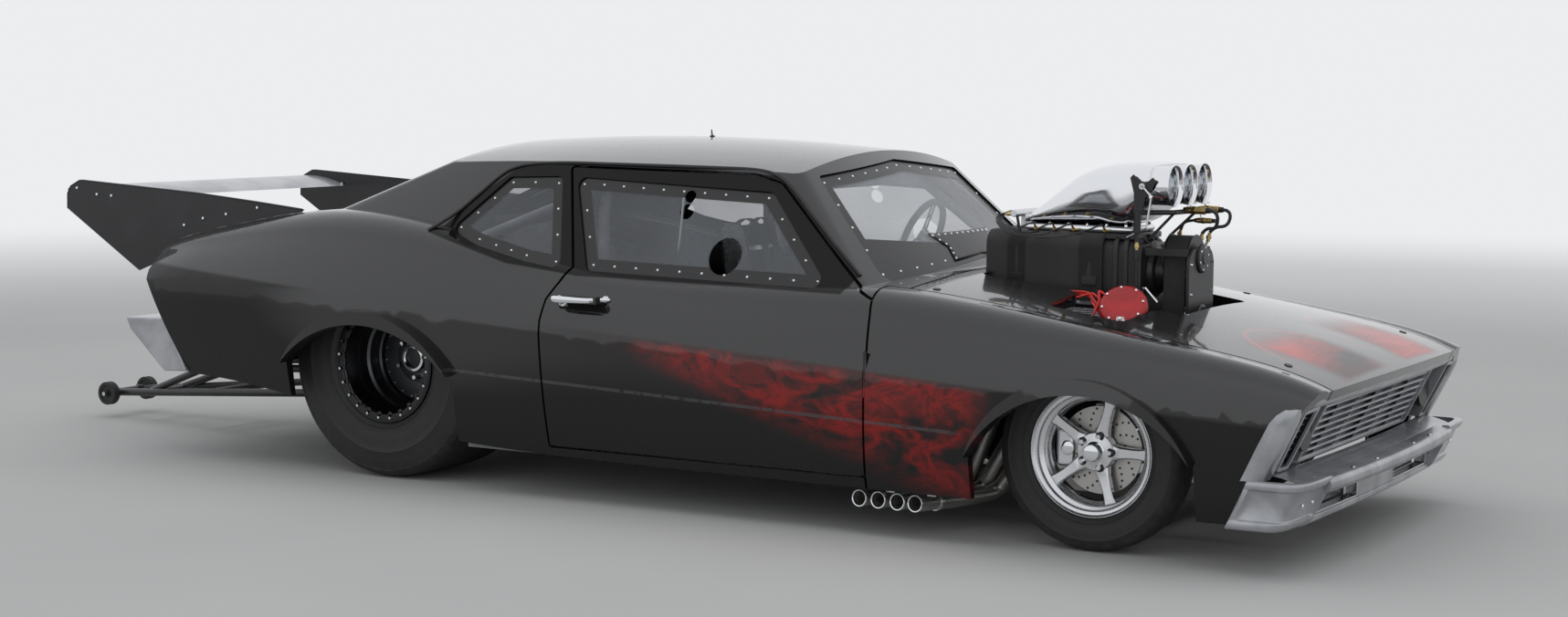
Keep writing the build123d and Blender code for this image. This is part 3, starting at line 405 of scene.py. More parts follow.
def stud_tree():
    tree = bpy.data.node_groups.new("studs", "GeometryNodeTree")
    for label, kind in (("Geometry", "Geometry"), ("Radius", "Float"), ("Height", "Float"), ("Top", "Float"),
                        ("Sides", "Int"), ("Finish", "Material")):
        tree.interface.new_socket(label, in_out="INPUT", socket_type="NodeSocket" + kind)
    tree.interface.new_socket("Geometry", in_out="OUTPUT", socket_type="NodeSocketGeometry")
    group = tree.nodes.new("NodeGroupInput").outputs
    top = add_node(tree, "ShaderNodeMath", {"operation": "MULTIPLY"}, {0: group["Radius"], 1: group["Top"]})
    head = add_node(tree, "GeometryNodeMeshCone", {"fill_type": "NGON"}, {
        "Vertices": group["Sides"], "Radius Top": top.outputs[0], "Radius Bottom": group["Radius"],
        "Depth": group["Height"],
    })
    settings = {"data_type": "FLOAT_VECTOR"}
    facing = add_node(tree, "GeometryNodeInputNamedAttribute", settings, {"Name": "facing"})
    sockets = {"Vector": facing.outputs["Attribute"]}
    turn = add_node(tree, "FunctionNodeAlignRotationToVector", {"axis": "Z"}, sockets)
    points = add_node(tree, "GeometryNodeMeshToPoints", None, {"Mesh": group["Geometry"]})
    sockets = {"Points": points.outputs[0], "Instance": head.outputs["Mesh"], "Rotation": turn.outputs[0]}
    set_out = add_node(tree, "GeometryNodeInstanceOnPoints", None, sockets)
    whole = add_node(tree, "GeometryNodeRealizeInstances", None, {"Geometry": set_out.outputs[0]})
    sockets = {"Geometry": whole.outputs[0], "Material": group["Finish"]}
    painted = add_node(tree, "GeometryNodeSetMaterial", None, sockets)
    tree.links.new(painted.outputs[0], tree.nodes.new("NodeGroupOutput").inputs[0])
    return tree


STUDS = stud_tree()


def studs(name, spots, facing, radius, height, top=0.8, sides=6, finish=None, body=CAR):
    """Heads on spots that face one way, or each its own way when a list is given."""
    finish = finish or CHROME
    mesh = mesh_from(name, spots, [])
    ways = facing if isinstance(facing, list) else [facing] * len(spots)
    flat = [c for way in ways for c in way]
    mesh.attributes.new("facing", "FLOAT_VECTOR", "POINT").data.foreach_set("vector", flat)
    holder = linked(name + "_points", mesh)
    live = holder.modifiers.new("build", "NODES")
    live.node_group = STUDS
    labels = {s.name: s.identifier for s in STUDS.interface.items_tree if s.in_out == "INPUT"}
    sizes = {"Radius": radius, "Height": height, "Top": top, "Sides": sides, "Finish": finish.material}
    for label, value in sizes.items():
        live[labels[label]] = value
    bpy.context.view_layer.update()
    made = evaluated(holder)
    bpy.data.objects.remove(holder)
    bpy.data.meshes.remove(mesh)
    return piece(name, made, finish, body, 30)


# Finishes of this car
BLACK = (0.006, 0.006, 0.0065)
EMBER = (0.24, 0.008, 0.006)
HOT_RED = (0.62, 0.07, 0.06)
PALE_GREY = (0.42, 0.43, 0.45)
WINDOW_SIDE = [  # the side of the cabin under the gutter, ahead of the axle and up; there the clear coat is thinned as painted shade
    (-0.83, 0.842), (-1.05, 1.036), (-1.205, 1.16), (-1.6, 1.181), (-2.04, 1.184), (-2.28, 1.169),
    (-2.43, 1.063), (-2.575, 0.93), (-2.2, 0.834), (-1.9, 0.801), (-0.86, 0.786),
]


def body_paint():
    """Gloss black with torn red wisps on the lower front sides and a red smoke at the front of the bonnet; a
    painted highlight along the side crease, and the clear coat thinned as painted shade low on the sides and on
    the cabin side under the gutter.
    """
    finish = Finish("body_paint", BLACK, 0.3, 0.0, Coat_Weight=1.0, Coat_Roughness=0.045, Coat_IOR=1.68,
                    Specular_IOR_Level=0.12)
    x, y, z = finish.axes()
    x = x - AXLE
    lean = finish.node("CombineXYZ", None, x * 0.75 + z * 0.55, y * 0.3, z * 1.25 - x * 0.3).outputs[0]
    broad = finish.noise(4.6, 3.0, 0.55, lean, 0.9)
    torn = finish.noise(10.5, 4.0, 0.6, lean, 1.3)
    veil = finish.noise(2.6, 2.0, 0.5, lean, 0.4)
    tongue = (1 - (broad * 2.0 - 1.0).size() * 3.6).high(0.0).power(1.4)
    thread = (1 - (torn * 2.0 - 1.0).size() * 3.2).high(0.0).power(1.3)
    outer = y.size().fade(0.6, 0.7)
    under = 0.508 - x * 0.066 - z
    depth = (x + 1.84) * 0.27
    side = under.fade(-0.006, 0.03) * (depth - under).fade(-0.05, 0.1) * x.fade(-1.84, -1.3)
    side = side * (1 - x.fade(-0.4, -0.24)) * outer
    rise = (y.size() - 0.3).size()
    front = x.fade(0.36, 0.56) * (1 - x.fade(0.74, 0.765)) * (1 - rise.fade(0.13, 0.24)) * z.fade(0.53, 0.55)
    rim_line = 1 - ((rise * rise * 3.2 + 0.36 - x).size()).fade(0.004, 0.016)
    rim_line = rim_line * x.fade(0.33, 0.36) * z.fade(0.53, 0.55) * (1 - rise.fade(0.3, 0.33))
    wisps = tongue * (thread * 0.45 + 0.55) + thread * veil.fade(0.42, 0.6) * 0.4
    wisps = wisps + veil.fade(0.5, 0.75) * 0.16
    # Painted shade: the clear coat is thinned low on the sides, where they reflect the shaded floor.
    low_side_shade = under.fade(-0.004, 0.012) * (1 - y.size().fade(0.905, 0.925))
    smoke = wisps * side + (tongue * 0.3 + veil.fade(0.3, 0.62) * 0.9) * front + rim_line * 0.7
    # A painted highlight along the side's crease: a thin grey line, broken up by noise, mixed into the base
    # colour.
    crease = (z - 0.3715 + (x + 0.333) * 0.037).size().fade(0.0042, 0.0068)
    line = (1 - crease) * x.fade(-2.42, -2.38) * (1 - x.fade(-0.42, -0.36)) * outer
    shade = finish.mix(smoke.low(1.0), BLACK, finish.mix(front.low(1.0), EMBER, HOT_RED))
    # Painted shade: the clear coat is thinned on the cabin side under the gutter, a shaded recess; it is
    # thinned on the red front patch too.
    window_side_shade = distance_inside(x, z, WINDOW_SIDE).fade(-0.004, 0.004) * y.size().fade(0.4, 0.5)
    finish.set(Coat_Weight=1 - (low_side_shade * 0.64).high(front * 0.55).high(window_side_shade * 0.88))
    crease_highlight = line * finish.noise(60.0, 2.0).fade(0.25, 0.5) * 0.7
    finish.set(Base_Color=finish.mix(crease_highlight, shade, (0.07, 0.07, 0.075)))
    finish.set(Roughness=finish.noise(60.0, 2.0) * 0.04 + 0.26)
    return finish


def silver_paint():
    """Silver with a fine metal flake and a tone that varies at random between darker and lighter patches."""
    finish = Finish("silver_paint", PALE_GREY, 0.36, 0.55, Coat_Weight=0.5, Coat_Roughness=0.12)
    flake = finish.noise(900.0, 0.0)
    tone = finish.noise(7.0, 3.0, 0.6).fade(0.3, 0.7) * 0.7 + flake * 0.3
    finish.set(Base_Color=finish.mix(tone, (0.27, 0.28, 0.3), (0.5, 0.51, 0.53)), Roughness=flake * 0.1 + 0.3)
    return finish


def bright_metal(name, colour, rough, grain):
    """A bright metal, polished where grain is small."""
    finish = Finish(name, colour, rough, 1.0)
    finish.set(Roughness=finish.noise(22.0, 4.0, 0.6) * grain * 2.0 + (rough - grain * 0.6))
    return finish


def dark_coat(name, colour, rough, scale=500.0, depth=0.00012):
    """A satin coat with a fine orange-peel or cast texture."""
    finish = Finish(name, colour, rough)
    pores = finish.noise(scale, 3.0, 0.6)
    wear = finish.noise(9.0, 4.0, 0.6).fade(0.45, 0.75) * 0.6
    lighter = tuple(min(1.0, c * 1.9 + 0.004) for c in colour)
    finish.set(Base_Color=finish.mix(wear, colour, lighter), Roughness=pores * 0.16 + rough - 0.08)
    finish.bump(pores, depth)
    return finish


def tyre_rubber(name, axle_x, axle_z, tread_start, grey=(0.0125, 0.0125, 0.013)):
    """Black rubber, dusty and scuffed on the tread, with fine moulding rings on the walls."""
    finish = Finish(name, grey, 0.72)
    x, _, z = finish.axes()
    around = ((x - axle_x).power(2.0) + (z - axle_z).power(2.0)).power(0.5)
    tread = around.fade(tread_start - 0.012, tread_start)
    dust = finish.noise(26.0, 4.0, 0.65)
    scuffed = tuple(c * 2.3 + 0.004 for c in grey)
    finish.set(Base_Color=finish.mix((dust.fade(0.35, 0.7) * (tread * 0.6 + 0.25)).low(1.0), grey, scuffed))
    finish.set(Roughness=dust * 0.12 + tread * 0.16 + 0.5)
    walls = (around * 900.0).wave() * (1 - tread) * 0.25
    finish.bump(walls + finish.noise(420.0, 3.0) * (tread * 0.8 + 0.3), 0.0004)
    return finish


def pane_finish(name, first, second, outline, clear=0.24, holes=(), tint=(0.2, 0.215, 0.235)):
    """Clear plastic sheet with a black painted border, from the outline in two of its coordinates."""
    finish = Finish(name, (0.2, 0.21, 0.22), 0.12, 0.0, Coat_Weight=0.6, Coat_Roughness=0.04)
    axes = finish.axes()
    across, upward = axes[first], axes[second]
    border = 1 - distance_inside(across, upward, outline).fade(0.041, 0.0435)
    haze = finish.noise(2.5, 2.0, 0.5).fade(0.35, 0.75)
    cover = border.high(haze * 0.1 + clear)
    for h, v, r in holes:
        gap = ((across - h).power(2.0) + (upward - v).power(2.0)).power(0.5)
        cover = cover * gap.fade(r - 0.001, r + 0.001)
    finish.set(Base_Color=finish.mix(border, tint, BLACK), Alpha=cover)
    finish.set(Roughness=haze * 0.05 + border * 0.3 + 0.03, Coat_Weight=0.6 - border * 0.35)
    return finish


def woven(name, colour, scale, depth=0.0006, rough=0.9):
    """Coarse cloth with a plain weave."""
    finish = Finish(name, colour, rough, 0.0, Sheen_Weight=0.15)
    x, y, z = finish.axes()
    weave = (x * scale).wave() * ((y + z * 1.3) * scale).wave()
    tone = finish.noise(14.0, 4.0, 0.6)
    lighter = tuple(c * 1.8 + 0.006 for c in colour)
    finish.set(Base_Color=finish.mix((tone * 0.8 + weave * 0.12).high(0.0), colour, lighter))
    finish.bump(weave + tone * 2.0, depth)
    return finish


PAINT = body_paint()
SILVER = silver_paint()
POLISHED = bright_metal("polished_alloy", (0.83, 0.84, 0.86), 0.1, 0.05)
CHROME = bright_metal("chrome", (0.8, 0.82, 0.84), 0.06, 0.02)
MACHINED = bright_metal("machined_alloy", (0.72, 0.73, 0.75), 0.24, 0.08)
BARE_STEEL = bright_metal("bare_steel", (0.5, 0.49, 0.47), 0.34, 0.14)
BRASS = bright_metal("brass", (0.63, 0.47, 0.2), 0.26, 0.1)
DARK_ALLOY = bright_metal("dark_alloy", (0.09, 0.092, 0.098), 0.26, 0.08)
BLACK_METAL = dark_coat("black_metal", (0.013, 0.013, 0.014), 0.38)
CAGE_PAINT = dark_coat("cage_paint", (0.32, 0.33, 0.35), 0.42)
TIN = dark_coat("painted_sheet", (0.2, 0.205, 0.215), 0.5, 240.0)
IRON = dark_coat("cast_iron", (0.016, 0.016, 0.017), 0.6, 260.0, 0.0005)
TRIM = dark_coat("black_trim", (0.009, 0.009, 0.01), 0.3, 700.0, 0.00006)
RED = dark_coat("red_cap", (0.34, 0.010, 0.012), 0.32, 500.0, 0.00006)
RED_LEAD = dark_coat("red_lead", (0.46, 0.02, 0.015), 0.45, 600.0, 0.0001)
BELT_RUBBER = dark_coat("belt_rubber", (0.014, 0.014, 0.015), 0.7, 900.0, 0.0003)
HOSE = woven("braided_hose", (0.016, 0.016, 0.017), 2600.0, 0.0002, 0.6)
BLANKET = woven("blanket_cloth", (0.03, 0.029, 0.028), 1500.0)
STRAP = woven("strap_webbing", (0.01, 0.01, 0.011), 2200.0, 0.0005)
SEAT = woven("seat_cloth", (0.014, 0.014, 0.015), 1800.0)
BELTS = woven("belt_webbing", (0.02, 0.02, 0.022), 2400.0, 0.0005)
FRONT_RUBBER = tyre_rubber("front_rubber", AXLE, 0.317, 0.29)
REAR_RUBBER = tyre_rubber("rear_rubber", AXLE + REAR, 0.432, 0.4)

# Window outlines of this car, as the panes are cut: side ones ahead and up, the screen's across and up
DOOR_PANE = [(-1.874, 0.818), (-0.917, 0.796), (-1.218, 1.106), (-2.012, 1.14)]
QUARTER_PANE = [
    (-1.985, 0.818), (-2.15, 0.838), (-2.38, 0.885), (-2.52, 0.935), (-2.307, 1.132), (-2.075, 1.14),
]
SCREEN_PANE = [(-0.655, 0.818), (0.0, 0.868), (0.655, 0.818), (0.52, 1.16), (0.0, 1.205), (-0.52, 1.16)]
REAR_PANE = [(-2.79, -0.5), (-2.77, 0.0), (-2.79, 0.5), (-3.27, 0.56), (-3.29, 0.0), (-3.27, -0.56)]
AIR_HOLES = [(-1.34, 0.887, 0.062), (-1.531, 1.082, 0.021), (-1.532, 1.031, 0.026)]  # ahead, up, radius


def from_axle(rows):
    return [(row[0] + AXLE, *row[1:]) for row in rows]


DOOR_CLEAR = pane_finish("door_pane", 0, 2, from_axle(DOOR_PANE), holes=from_axle(AIR_HOLES))
QUARTER_CLEAR = pane_finish("quarter_pane", 0, 2, from_axle(QUARTER_PANE))
# The windscreen's pale grey tint, at a higher cover than the other panes, is a painted reflection of the pale
# sky on it.
SCREEN_CLEAR = pane_finish("screen_pane", 1, 2, SCREEN_PANE, 0.3, tint=(0.46, 0.49, 0.52))
REAR_CLEAR = pane_finish("rear_pane", 0, 1, from_axle(REAR_PANE))
LAMP_RED = Finish("tail_lens", (0.25, 0.008, 0.01), 0.15, 0.0, Coat_Weight=1.0)
LAMP_RED.bump((LAMP_RED.axes()[1] * 420.0).wave() + (LAMP_RED.axes()[2] * 420.0).wave(), 0.0006)
LAMP_RED.set(Roughness=LAMP_RED.noise(40.0) * 0.1 + 0.06)


# Body and glass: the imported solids, smoothed, in their finishes
for finish, slot, nodes in (
    (PAINT, "paint", ("body_shell", "guard_right", "guard_left", "bonnet", "boot_lid")),
    (TIN, "bare_steel", ("floor_pan",)),
    (TRIM, "black_metal", ("dashboard", "nose_panel")),
    (CAGE_PAINT, "black_metal", ("roll_cage",)),
    (TRIM, "bare_steel", ("wing_plates",)),
    (SILVER, "black_metal", ("wing_blade", "grille")),
    (BLACK_METAL, "black_metal", ("wheelie_bar", "rear_axle")),
    (BARE_STEEL, "bare_steel", ("driveline", "exhausts")),
    (BARE_STEEL, "black_metal", ("rear_suspension", "front_suspension")),
    (SCREEN_CLEAR, "glass", ("windscreen",)),
    (REAR_CLEAR, "glass", ("rear_window",)),
    (QUARTER_CLEAR, "glass", ("quarter_windows",)),
    (LAMP_RED, "lamp_red", ("tail_lamps",)),
    (TRIM, "lamp", ("headlamps",)),
    (IRON, "iron", ("engine_block",)),
):
    for node in nodes:
        dressed(node, finish, slot)
dressed("rear_bumper", SILVER, "silver", soften=0.014)
for name, side in SIDES:
    dressed("door_" + name, PAINT, "paint", f"door_{name}_body")
    dressed("door_glass_" + name, DOOR_CLEAR, "glass", f"door_{name}_body")
    dressed("knuckle_" + name, BARE_STEEL, "bare_steel", f"knuckle_{name}_body", 0.003)


# Wheels: profiles are pairs of radius and distance outwards from the wheel's middle
def turned(name, finish, profile, centre, side, body, count, **more):
    """A piece turned on the wheel's axis."""
    spun(name, finish, [(r, d * side) for r, d in profile], centre, "Y", count, body=body, **more)


def mirrored(half):
    return half + [(r, -d) for r, d in reversed(half)]


def spoke_shape(centre, side, angle):
    """One spoke, with a softly crowned front."""
    out, over = Vector((math.sin(angle), 0, math.cos(angle))), Vector((math.cos(angle), 0, -math.sin(angle)))
    loops = []
    for r, half, back, face in SPOKE:
        flat, edge = half * 0.72, face - 0.004
        section = [(-half, back), (half, back), (half, edge), (flat, face), (-flat, face), (-half, edge)]
        loops.append([centre + out * r + over * w + Vector((0, side * d, 0)) for w, d in section])
    return rings(loops)


SPOKE = [  # radius, half width, inner face, outer face
    (0.035, 0.029, -0.014, 0.012), (0.06, 0.0255, -0.012, 0.0135), (0.085, 0.0195, -0.01, 0.0145),
    (0.125, 0.0165, -0.006, 0.0175), (0.152, 0.0175, -0.002, 0.021), (0.172, 0.022, 0, 0.023),
]
FRONT_RIM = [
    (0.2065, 0.0525), (0.2045, 0.0525), (0.202, 0.05), (0.199, 0.0465), (0.196, 0.045), (0.189, 0.0445),
    (0.187, 0.042), (0.186, 0.034), (0.18, 0.03), (0.176, 0.0285), (0.173, 0.026), (0.171, 0.016),
    (0.1665, 0.012), (0.163, 0.006), (0.161, -0.01), (0.164, -0.036), (0.194, -0.044), (0.197, -0.0495),
    (0.204, -0.0525), (0.2065, -0.0525), (0.205, -0.044), (0.187, -0.038), (0.17, -0.02), (0.17, 0.008),
    (0.187, 0.03), (0.192, 0.04), (0.2055, 0.044),
]
FRONT_TYRE = mirrored([
    (0.2068, 0.05), (0.211, 0.0555), (0.218, 0.0605), (0.226, 0.065), (0.2275, 0.067), (0.231, 0.0668),
    (0.244, 0.0702), (0.262, 0.0724), (0.276, 0.0722), (0.2785, 0.073), (0.282, 0.0712), (0.293, 0.0676),
    (0.302, 0.0625), (0.308, 0.056), (0.3115, 0.048), (0.3125, 0.045), (0.3148, 0.036), (0.3108, 0.0345),
    (0.3108, 0.0305), (0.3156, 0.029), (0.3166, 0.012), (0.312, 0.0105), (0.312, 0.0065), (0.317, 0.005),
])
FRONT_HUB = [
    (0, -0.02), (0.062, -0.02), (0.064, 0.01), (0.06, 0.0165), (0.04, 0.0185), (0.036, 0.02), (0, 0.02),
]
FRONT_CAP = [
    (0, 0.018), (0.0335, 0.018), (0.0335, 0.022), (0.029, 0.024), (0.028, 0.046), (0.025, 0.051),
    (0.016, 0.0535), (0, 0.054),
]
REAR_RIM = [
    (0.2215, 0.2), (0.219, 0.2), (0.2165, 0.198), (0.2145, 0.1955), (0.196, 0.195), (0.1925, 0.192),
    (0.1915, 0.185), (0.192, 0.12), (0.188, 0.112), (0.187, 0.07), (0.178, 0.062), (0.176, 0.01),
    (0.17, 0.004), (0.165, 0.006), (0.16, -0.006), (0.168, -0.01), (0.17, -0.18), (0.206, -0.194),
    (0.219, -0.2), (0.2215, -0.2), (0.22, -0.185), (0.2, -0.175), (0.19, 0), (0.2, 0.175), (0.2205, 0.185),
]
REAR_TYRE = mirrored([
    (0.222, 0.188), (0.227, 0.1965), (0.234, 0.203), (0.244, 0.208), (0.246, 0.2105), (0.25, 0.2098),
    (0.272, 0.214), (0.305, 0.2172), (0.33, 0.2178), (0.333, 0.2192), (0.337, 0.2178), (0.362, 0.215),
    (0.385, 0.211), (0.4, 0.207), (0.402, 0.208), (0.406, 0.205), (0.415, 0.1985), (0.422, 0.189),
    (0.4262, 0.176), (0.429, 0.15), (0.4306, 0.1), (0.4314, 0.04),
])
BEAD_RING = [
    (0.1935, 0.1952), (0.2175, 0.1952), (0.219, 0.1975), (0.218, 0.202), (0.216, 0.203), (0.195, 0.203),
    (0.1935, 0.201),
]
REAR_DISH = [
    (0, -0.03), (0.166, -0.03), (0.166, -0.006), (0.14, -0.004), (0.1, -0.01), (0.093, -0.01), (0.09, 0.004),
    (0.056, 0.006), (0.054, 0.01), (0, 0.01),
]
HUB_RING = [
    (0.034, 0.008), (0.052, 0.008), (0.052, 0.024), (0.049, 0.03), (0.04, 0.031), (0.036, 0.028),
    (0.034, 0.02),
]
WHEEL_PIECES = {  # name, node that it stands for, finish, profile, steps round, more
    "front": (
        ("front_tyre_{}_rubber", "front_tyre_{}", FRONT_RUBBER, FRONT_TYRE, 144,
         dict(smooth=40, slot="rubber")),
        ("front_rim_{}_barrel", "front_rim_{}", MACHINED, FRONT_RIM, 144, dict(smooth=24, slot="rim_alloy")),
        ("front_hub_{}", None, MACHINED, FRONT_HUB, 96, dict(slot="rim_alloy", bevel=0.001)),
        ("front_cap_{}", None, CHROME, FRONT_CAP, 64, {}),
        ("brake_disc_{}", None, BARE_STEEL, oblong(0.06, 0.142, -0.036, -0.0295), 96, dict(bevel=0.001)),
    ),
    "rear": (
        ("rear_tyre_{}_rubber", "rear_tyre_{}", REAR_RUBBER, REAR_TYRE, 160, dict(smooth=40, slot="rubber")),
        ("rear_rim_{}_barrel", "rear_rim_{}", DARK_ALLOY, REAR_RIM, 144, dict(smooth=24, slot="rim_alloy")),
        ("bead_ring_{}", None, BLACK_METAL, BEAD_RING, 144, dict(bevel=0.0008)),
        ("rear_centre_{}", None, DARK_ALLOY, REAR_DISH, 120, dict(smooth=24)),
        ("rear_hub_ring_{}", None, CHROME, HUB_RING, 72, {}),
        ("rear_hub_cap_{}", None, TRIM, [(0, 0.008), (0.034, 0.008), (0.034, 0.016), (0, 0.018)], 48, {}),
    ),
}
WHEEL_STUDS = {  # name, distance out, circle, count, first angle, finish, then radius, height, top, sides
    "front": (("front_lug_nuts_{}", 0.0155, 0.0525, 5, 0.3, CHROME, 0.0098, 0.017, 0.78, 6),),
    "rear": (
        ("bead_bolts_{}", 0.203, 0.2065, 24, 0.1, CHROME, 0.0062, 0.006, 0.82, 6),
        ("bead_lugs_{}", 0.199, 0.1935, 24, 0.1, BLACK_METAL, 0.0105, 0.004, 0.94, 20),
        ("rear_nuts_{}", 0.005, 0.072, 5, 0.5, CHROME, 0.0115, 0.03, 0.72, 6),
        ("rear_centre_rivets_{}", -0.004, 0.15, 20, 0.2, CHROME, 0.005, 0.003, 0.7, 12),
    ),
}


def wheel(end, name, side):
    """The turned pieces and nuts of one wheel. Returns its body and its middle."""
    body = f"{end}_wheel_{name}"
    centre = at(0, side * 0.667, 0.317) if end == "front" else at(REAR, side * 0.567, 0.432)
    for label, node, finish, profile, count, more in WHEEL_PIECES[end]:
        nodes = (node.format(name),) if node else ()
        turned(label.format(name), finish, profile, centre, side, body, count, replaces=nodes, **more)
    for label, out, ring, count, start, finish, *sizes in WHEEL_STUDS[end]:
        spots = circle_spots(centre + Vector((0, side * out, 0)), ring, count, "Y", start)
        studs(label.format(name), spots, (0, side, 0), *sizes, finish, body)
    return body, centre


def front_details(name, side, body, centre):
    """Spokes, valve and brake of a front wheel; the caliper stays with the knuckle."""
    for i in range(5):
        spoke = spoke_shape(centre, side, 0.3 + TURN * i / 5)
        solid(f"front_spoke_{name}_{i + 1}", MACHINED, [spoke], body, bevel=0.0018, slot="rim_alloy",
              smooth=30)
    well = [(0, 0), (0.0135, 0), (0.0145, side * 0.0026), (0, side * 0.0026)]
    spots = circle_spots(centre + Vector((0, side * 0.0155, 0)), 0.0525, 5, "Y", 0.3)
    solid(f"front_lug_wells_{name}", TRIM, [lathe(well, p, "Y", 24) for p in spots], body)
    valve = centre + Vector((0.15, side * 0.012, 0.085))
    stem = rod(valve, valve + Vector((0, side * 0.028, 0)), 0.004, 12, 0.0035)
    solid(f"front_valve_{name}", CHROME, [stem], body)
    holes = []
    for ring, radius in enumerate((0.085, 0.102, 0.119, 0.133)):
        holes += circle_spots(centre + Vector((0, side * -0.0296, 0)), radius, 14, "Y", ring * 0.11)
    studs(f"brake_disc_holes_{name}", holes, (0, side, 0), 0.0042, 0.0006, 0.98, 12, TRIM, body)
    held, (near, far) = f"knuckle_{name}_body", (-0.052, -0.019) if side > 0 else (0.019, 0.052)
    caliper = box(centre + Vector((-0.15, near, -0.062)), centre + Vector((-0.088, far, 0.062)))
    solid(f"brake_caliper_{name}", MACHINED, [caliper], held, bevel=0.012, segments=4)
    piston = [(0, 0), (0.024, 0), (0.024, 0.005), (0.019, 0.007), (0, 0.007)]
    middle = centre + Vector((-0.112, -side * 0.021, 0))
    turned(f"brake_piston_{name}", CHROME, piston, middle, side, held, 48, bevel=0.001)


for name, side in SIDES:
    front_details(name, side, *wheel("front", name, side))
    wheel("rear", name, side)


# Engine: injector hat, blower with its blanket, belt drive, magneto
MOUTH_Z = 1.142
BLOWER_Z = 0.846
HAT = [  # x, lowest z, highest z, half width
    (-0.54, 1, 1.012, 0.07), (-0.525, 0.999, 1.026, 0.09), (-0.5, 0.998, 1.046, 0.101),
    (-0.443, 0.998, 1.092, 0.108), (-0.392, 0.998, 1.134, 0.113), (-0.342, 0.998, 1.169, 0.121),
    (-0.29, 0.998, 1.191, 0.136), (-0.241, 0.998, 1.204, 0.155), (-0.19, 0.999, 1.211, 0.176),
    (-0.15, 1.003, 1.214, 0.19), (-0.118, 1.016, 1.2155, 0.198), (-0.094, 1.038, 1.216, 0.201),
    (-0.07, 1.06, 1.2155, 0.2015), (-0.05, 1.07, 1.214, 0.2015), (-0.03, 1.0735, 1.2125, 0.201),
]
BELL = [
    (0.06, -0.034), (0.06, 0.006), (0.0612, 0.02), (0.064, 0.031), (0.0675, 0.0375), (0.069, 0.0385),
    (0.07, 0.0375), (0.0698, 0.035), (0.0672, 0.027), (0.0655, 0.01), (0.0655, -0.06), (0.056, -0.06),
    (0.056, -0.05),
]
THROAT = [
    (0.0598, -0.033), (0.0598, -0.09), (0.03, -0.096), (0, -0.096), (0, -0.099), (0.0615, -0.099),
    (0.0615, -0.033),
]
THROTTLE_BLADE = [(0, 0), (0.0565, 0), (0.0572, 0.001), (0.0565, 0.002), (0, 0.002)]
BLOWER_FRONT = [
    (0, -0.158), (0.118, -0.158), (0.128, -0.15), (0.13, -0.14), (0.13, -0.122), (0.122, -0.112),
    (0.108, -0.106), (0.104, -0.094), (0.104, -0.086), (0.084, -0.08), (0.078, -0.064), (0.062, -0.058),
    (0.058, -0.03), (0, -0.03),
]
BLOWER_BACK = [(0, -0.64), (0.108, -0.64), (0.108, -0.6495), (0.1, -0.6515), (0.06, -0.653), (0, -0.653)]


def signed(value, power):
    """A power of a number's size, with its sign kept."""
    return math.copysign(abs(value) ** power, value)


def ring_across(x, half, low, high, power, count):
    """A closed ring across the car between two heights: an ellipse at power 2, squarer above it."""
    middle, rise, bend = (low + high) / 2, (high - low) / 2, 2 / power
    return [at(x, half * signed(c, bend), middle + rise * signed(s, bend)) for c, s in circle(1, count)]


def smooth_stations(stations, steps):
    """More stations between the given ones, on a smooth curve through them."""
    made = []
    for i in range(len(stations) - 1):
        a, b = stations[max(i - 1, 0)], stations[i]
        c, d = stations[i + 1], stations[min(i + 2, len(stations) - 1)]
        for t in (k / steps for k in range(steps)):
            made.append([
                0.5 * (2 * q + (r - p) * t + (2 * p - 5 * q + 4 * r - s) * t * t
                       + (3 * q - p - 3 * r + s) * t ** 3)
                for p, q, r, s in zip(a, b, c, d)
            ])
    return made + [list(stations[-1])]


def injector_hat():
    loops = []
    for x, low, high, half in smooth_stations(HAT, 4):
        squareness = 2.5 + 1.6 * max(0.0, min(1.0, (x + 0.25) / 0.2))
        loops.append(ring_across(x, half, low, high, squareness, 96))
    solid("hat_shell", POLISHED, [rings(loops)], smooth=60, replaces=("injector_hat",), slot="polished")
    foot = prism("Z", 0.9755, 0.999, oblong(-0.522, -0.128, -0.112, 0.112))
    solid("hat_foot", POLISHED, [foot], bevel=0.012, segments=4)
    bolts = [at(-0.5 + 0.07 * i, y, 0.9985) for i in range(6) for y in (-0.1045, 0.1045)]
    studs("hat_foot_bolts", bolts, (0, 0, 1), 0.006, 0.007)
    for i, y in enumerate((-0.133, 0, 0.133)):
        centre = at(0, y, MOUTH_Z)
        spun(f"hat_mouth_{i + 1}", POLISHED, BELL, centre, count=96, smooth=50)
        spun(f"hat_throat_{i + 1}", MACHINED, THROAT, centre, count=72, smooth=40)
        tilt = Matrix.Translation(centre + Vector((-0.046, 0, 0))) @ Matrix.Rotation(math.radians(16), 4, "Y")
        blade = moved(tilt, lathe(THROTTLE_BLADE, axis="X", count=64))
        solid(f"hat_blade_{i + 1}", MACHINED, [blade], smooth=40)
        screws = [centre + Vector((-0.0435, dy, 0)) for dy in (-0.024, 0.024)]
        studs(f"hat_blade_screws_{i + 1}", screws, (1, 0, 0), 0.0042, 0.004, 0.7, 12, BRASS)
    rods("hat_shaft", BARE_STEEL, [((-0.046, -0.232, MOUTH_Z), (-0.046, 0.232, MOUTH_Z), 0.0048, 20)])


def arch(half, low, high, radius):
    """An upside-down U section over the blower, from its right foot to its left foot."""
    shoulder = high - radius
    spots = [(-half, low + (shoulder - low) * share) for share in (0, 0.35, 0.7)] + [(-half, shoulder)]
    for i in range(1, 11):
        a = math.pi / 2 * i / 10
        spots.append((-half + radius - radius * math.cos(a), shoulder + radius * math.sin(a)))
    top = [((-half + radius) * (1 - 2 * k / 8), high) for k in range(1, 8)]
    return spots + top + [(-y, z) for y, z in reversed(spots)]


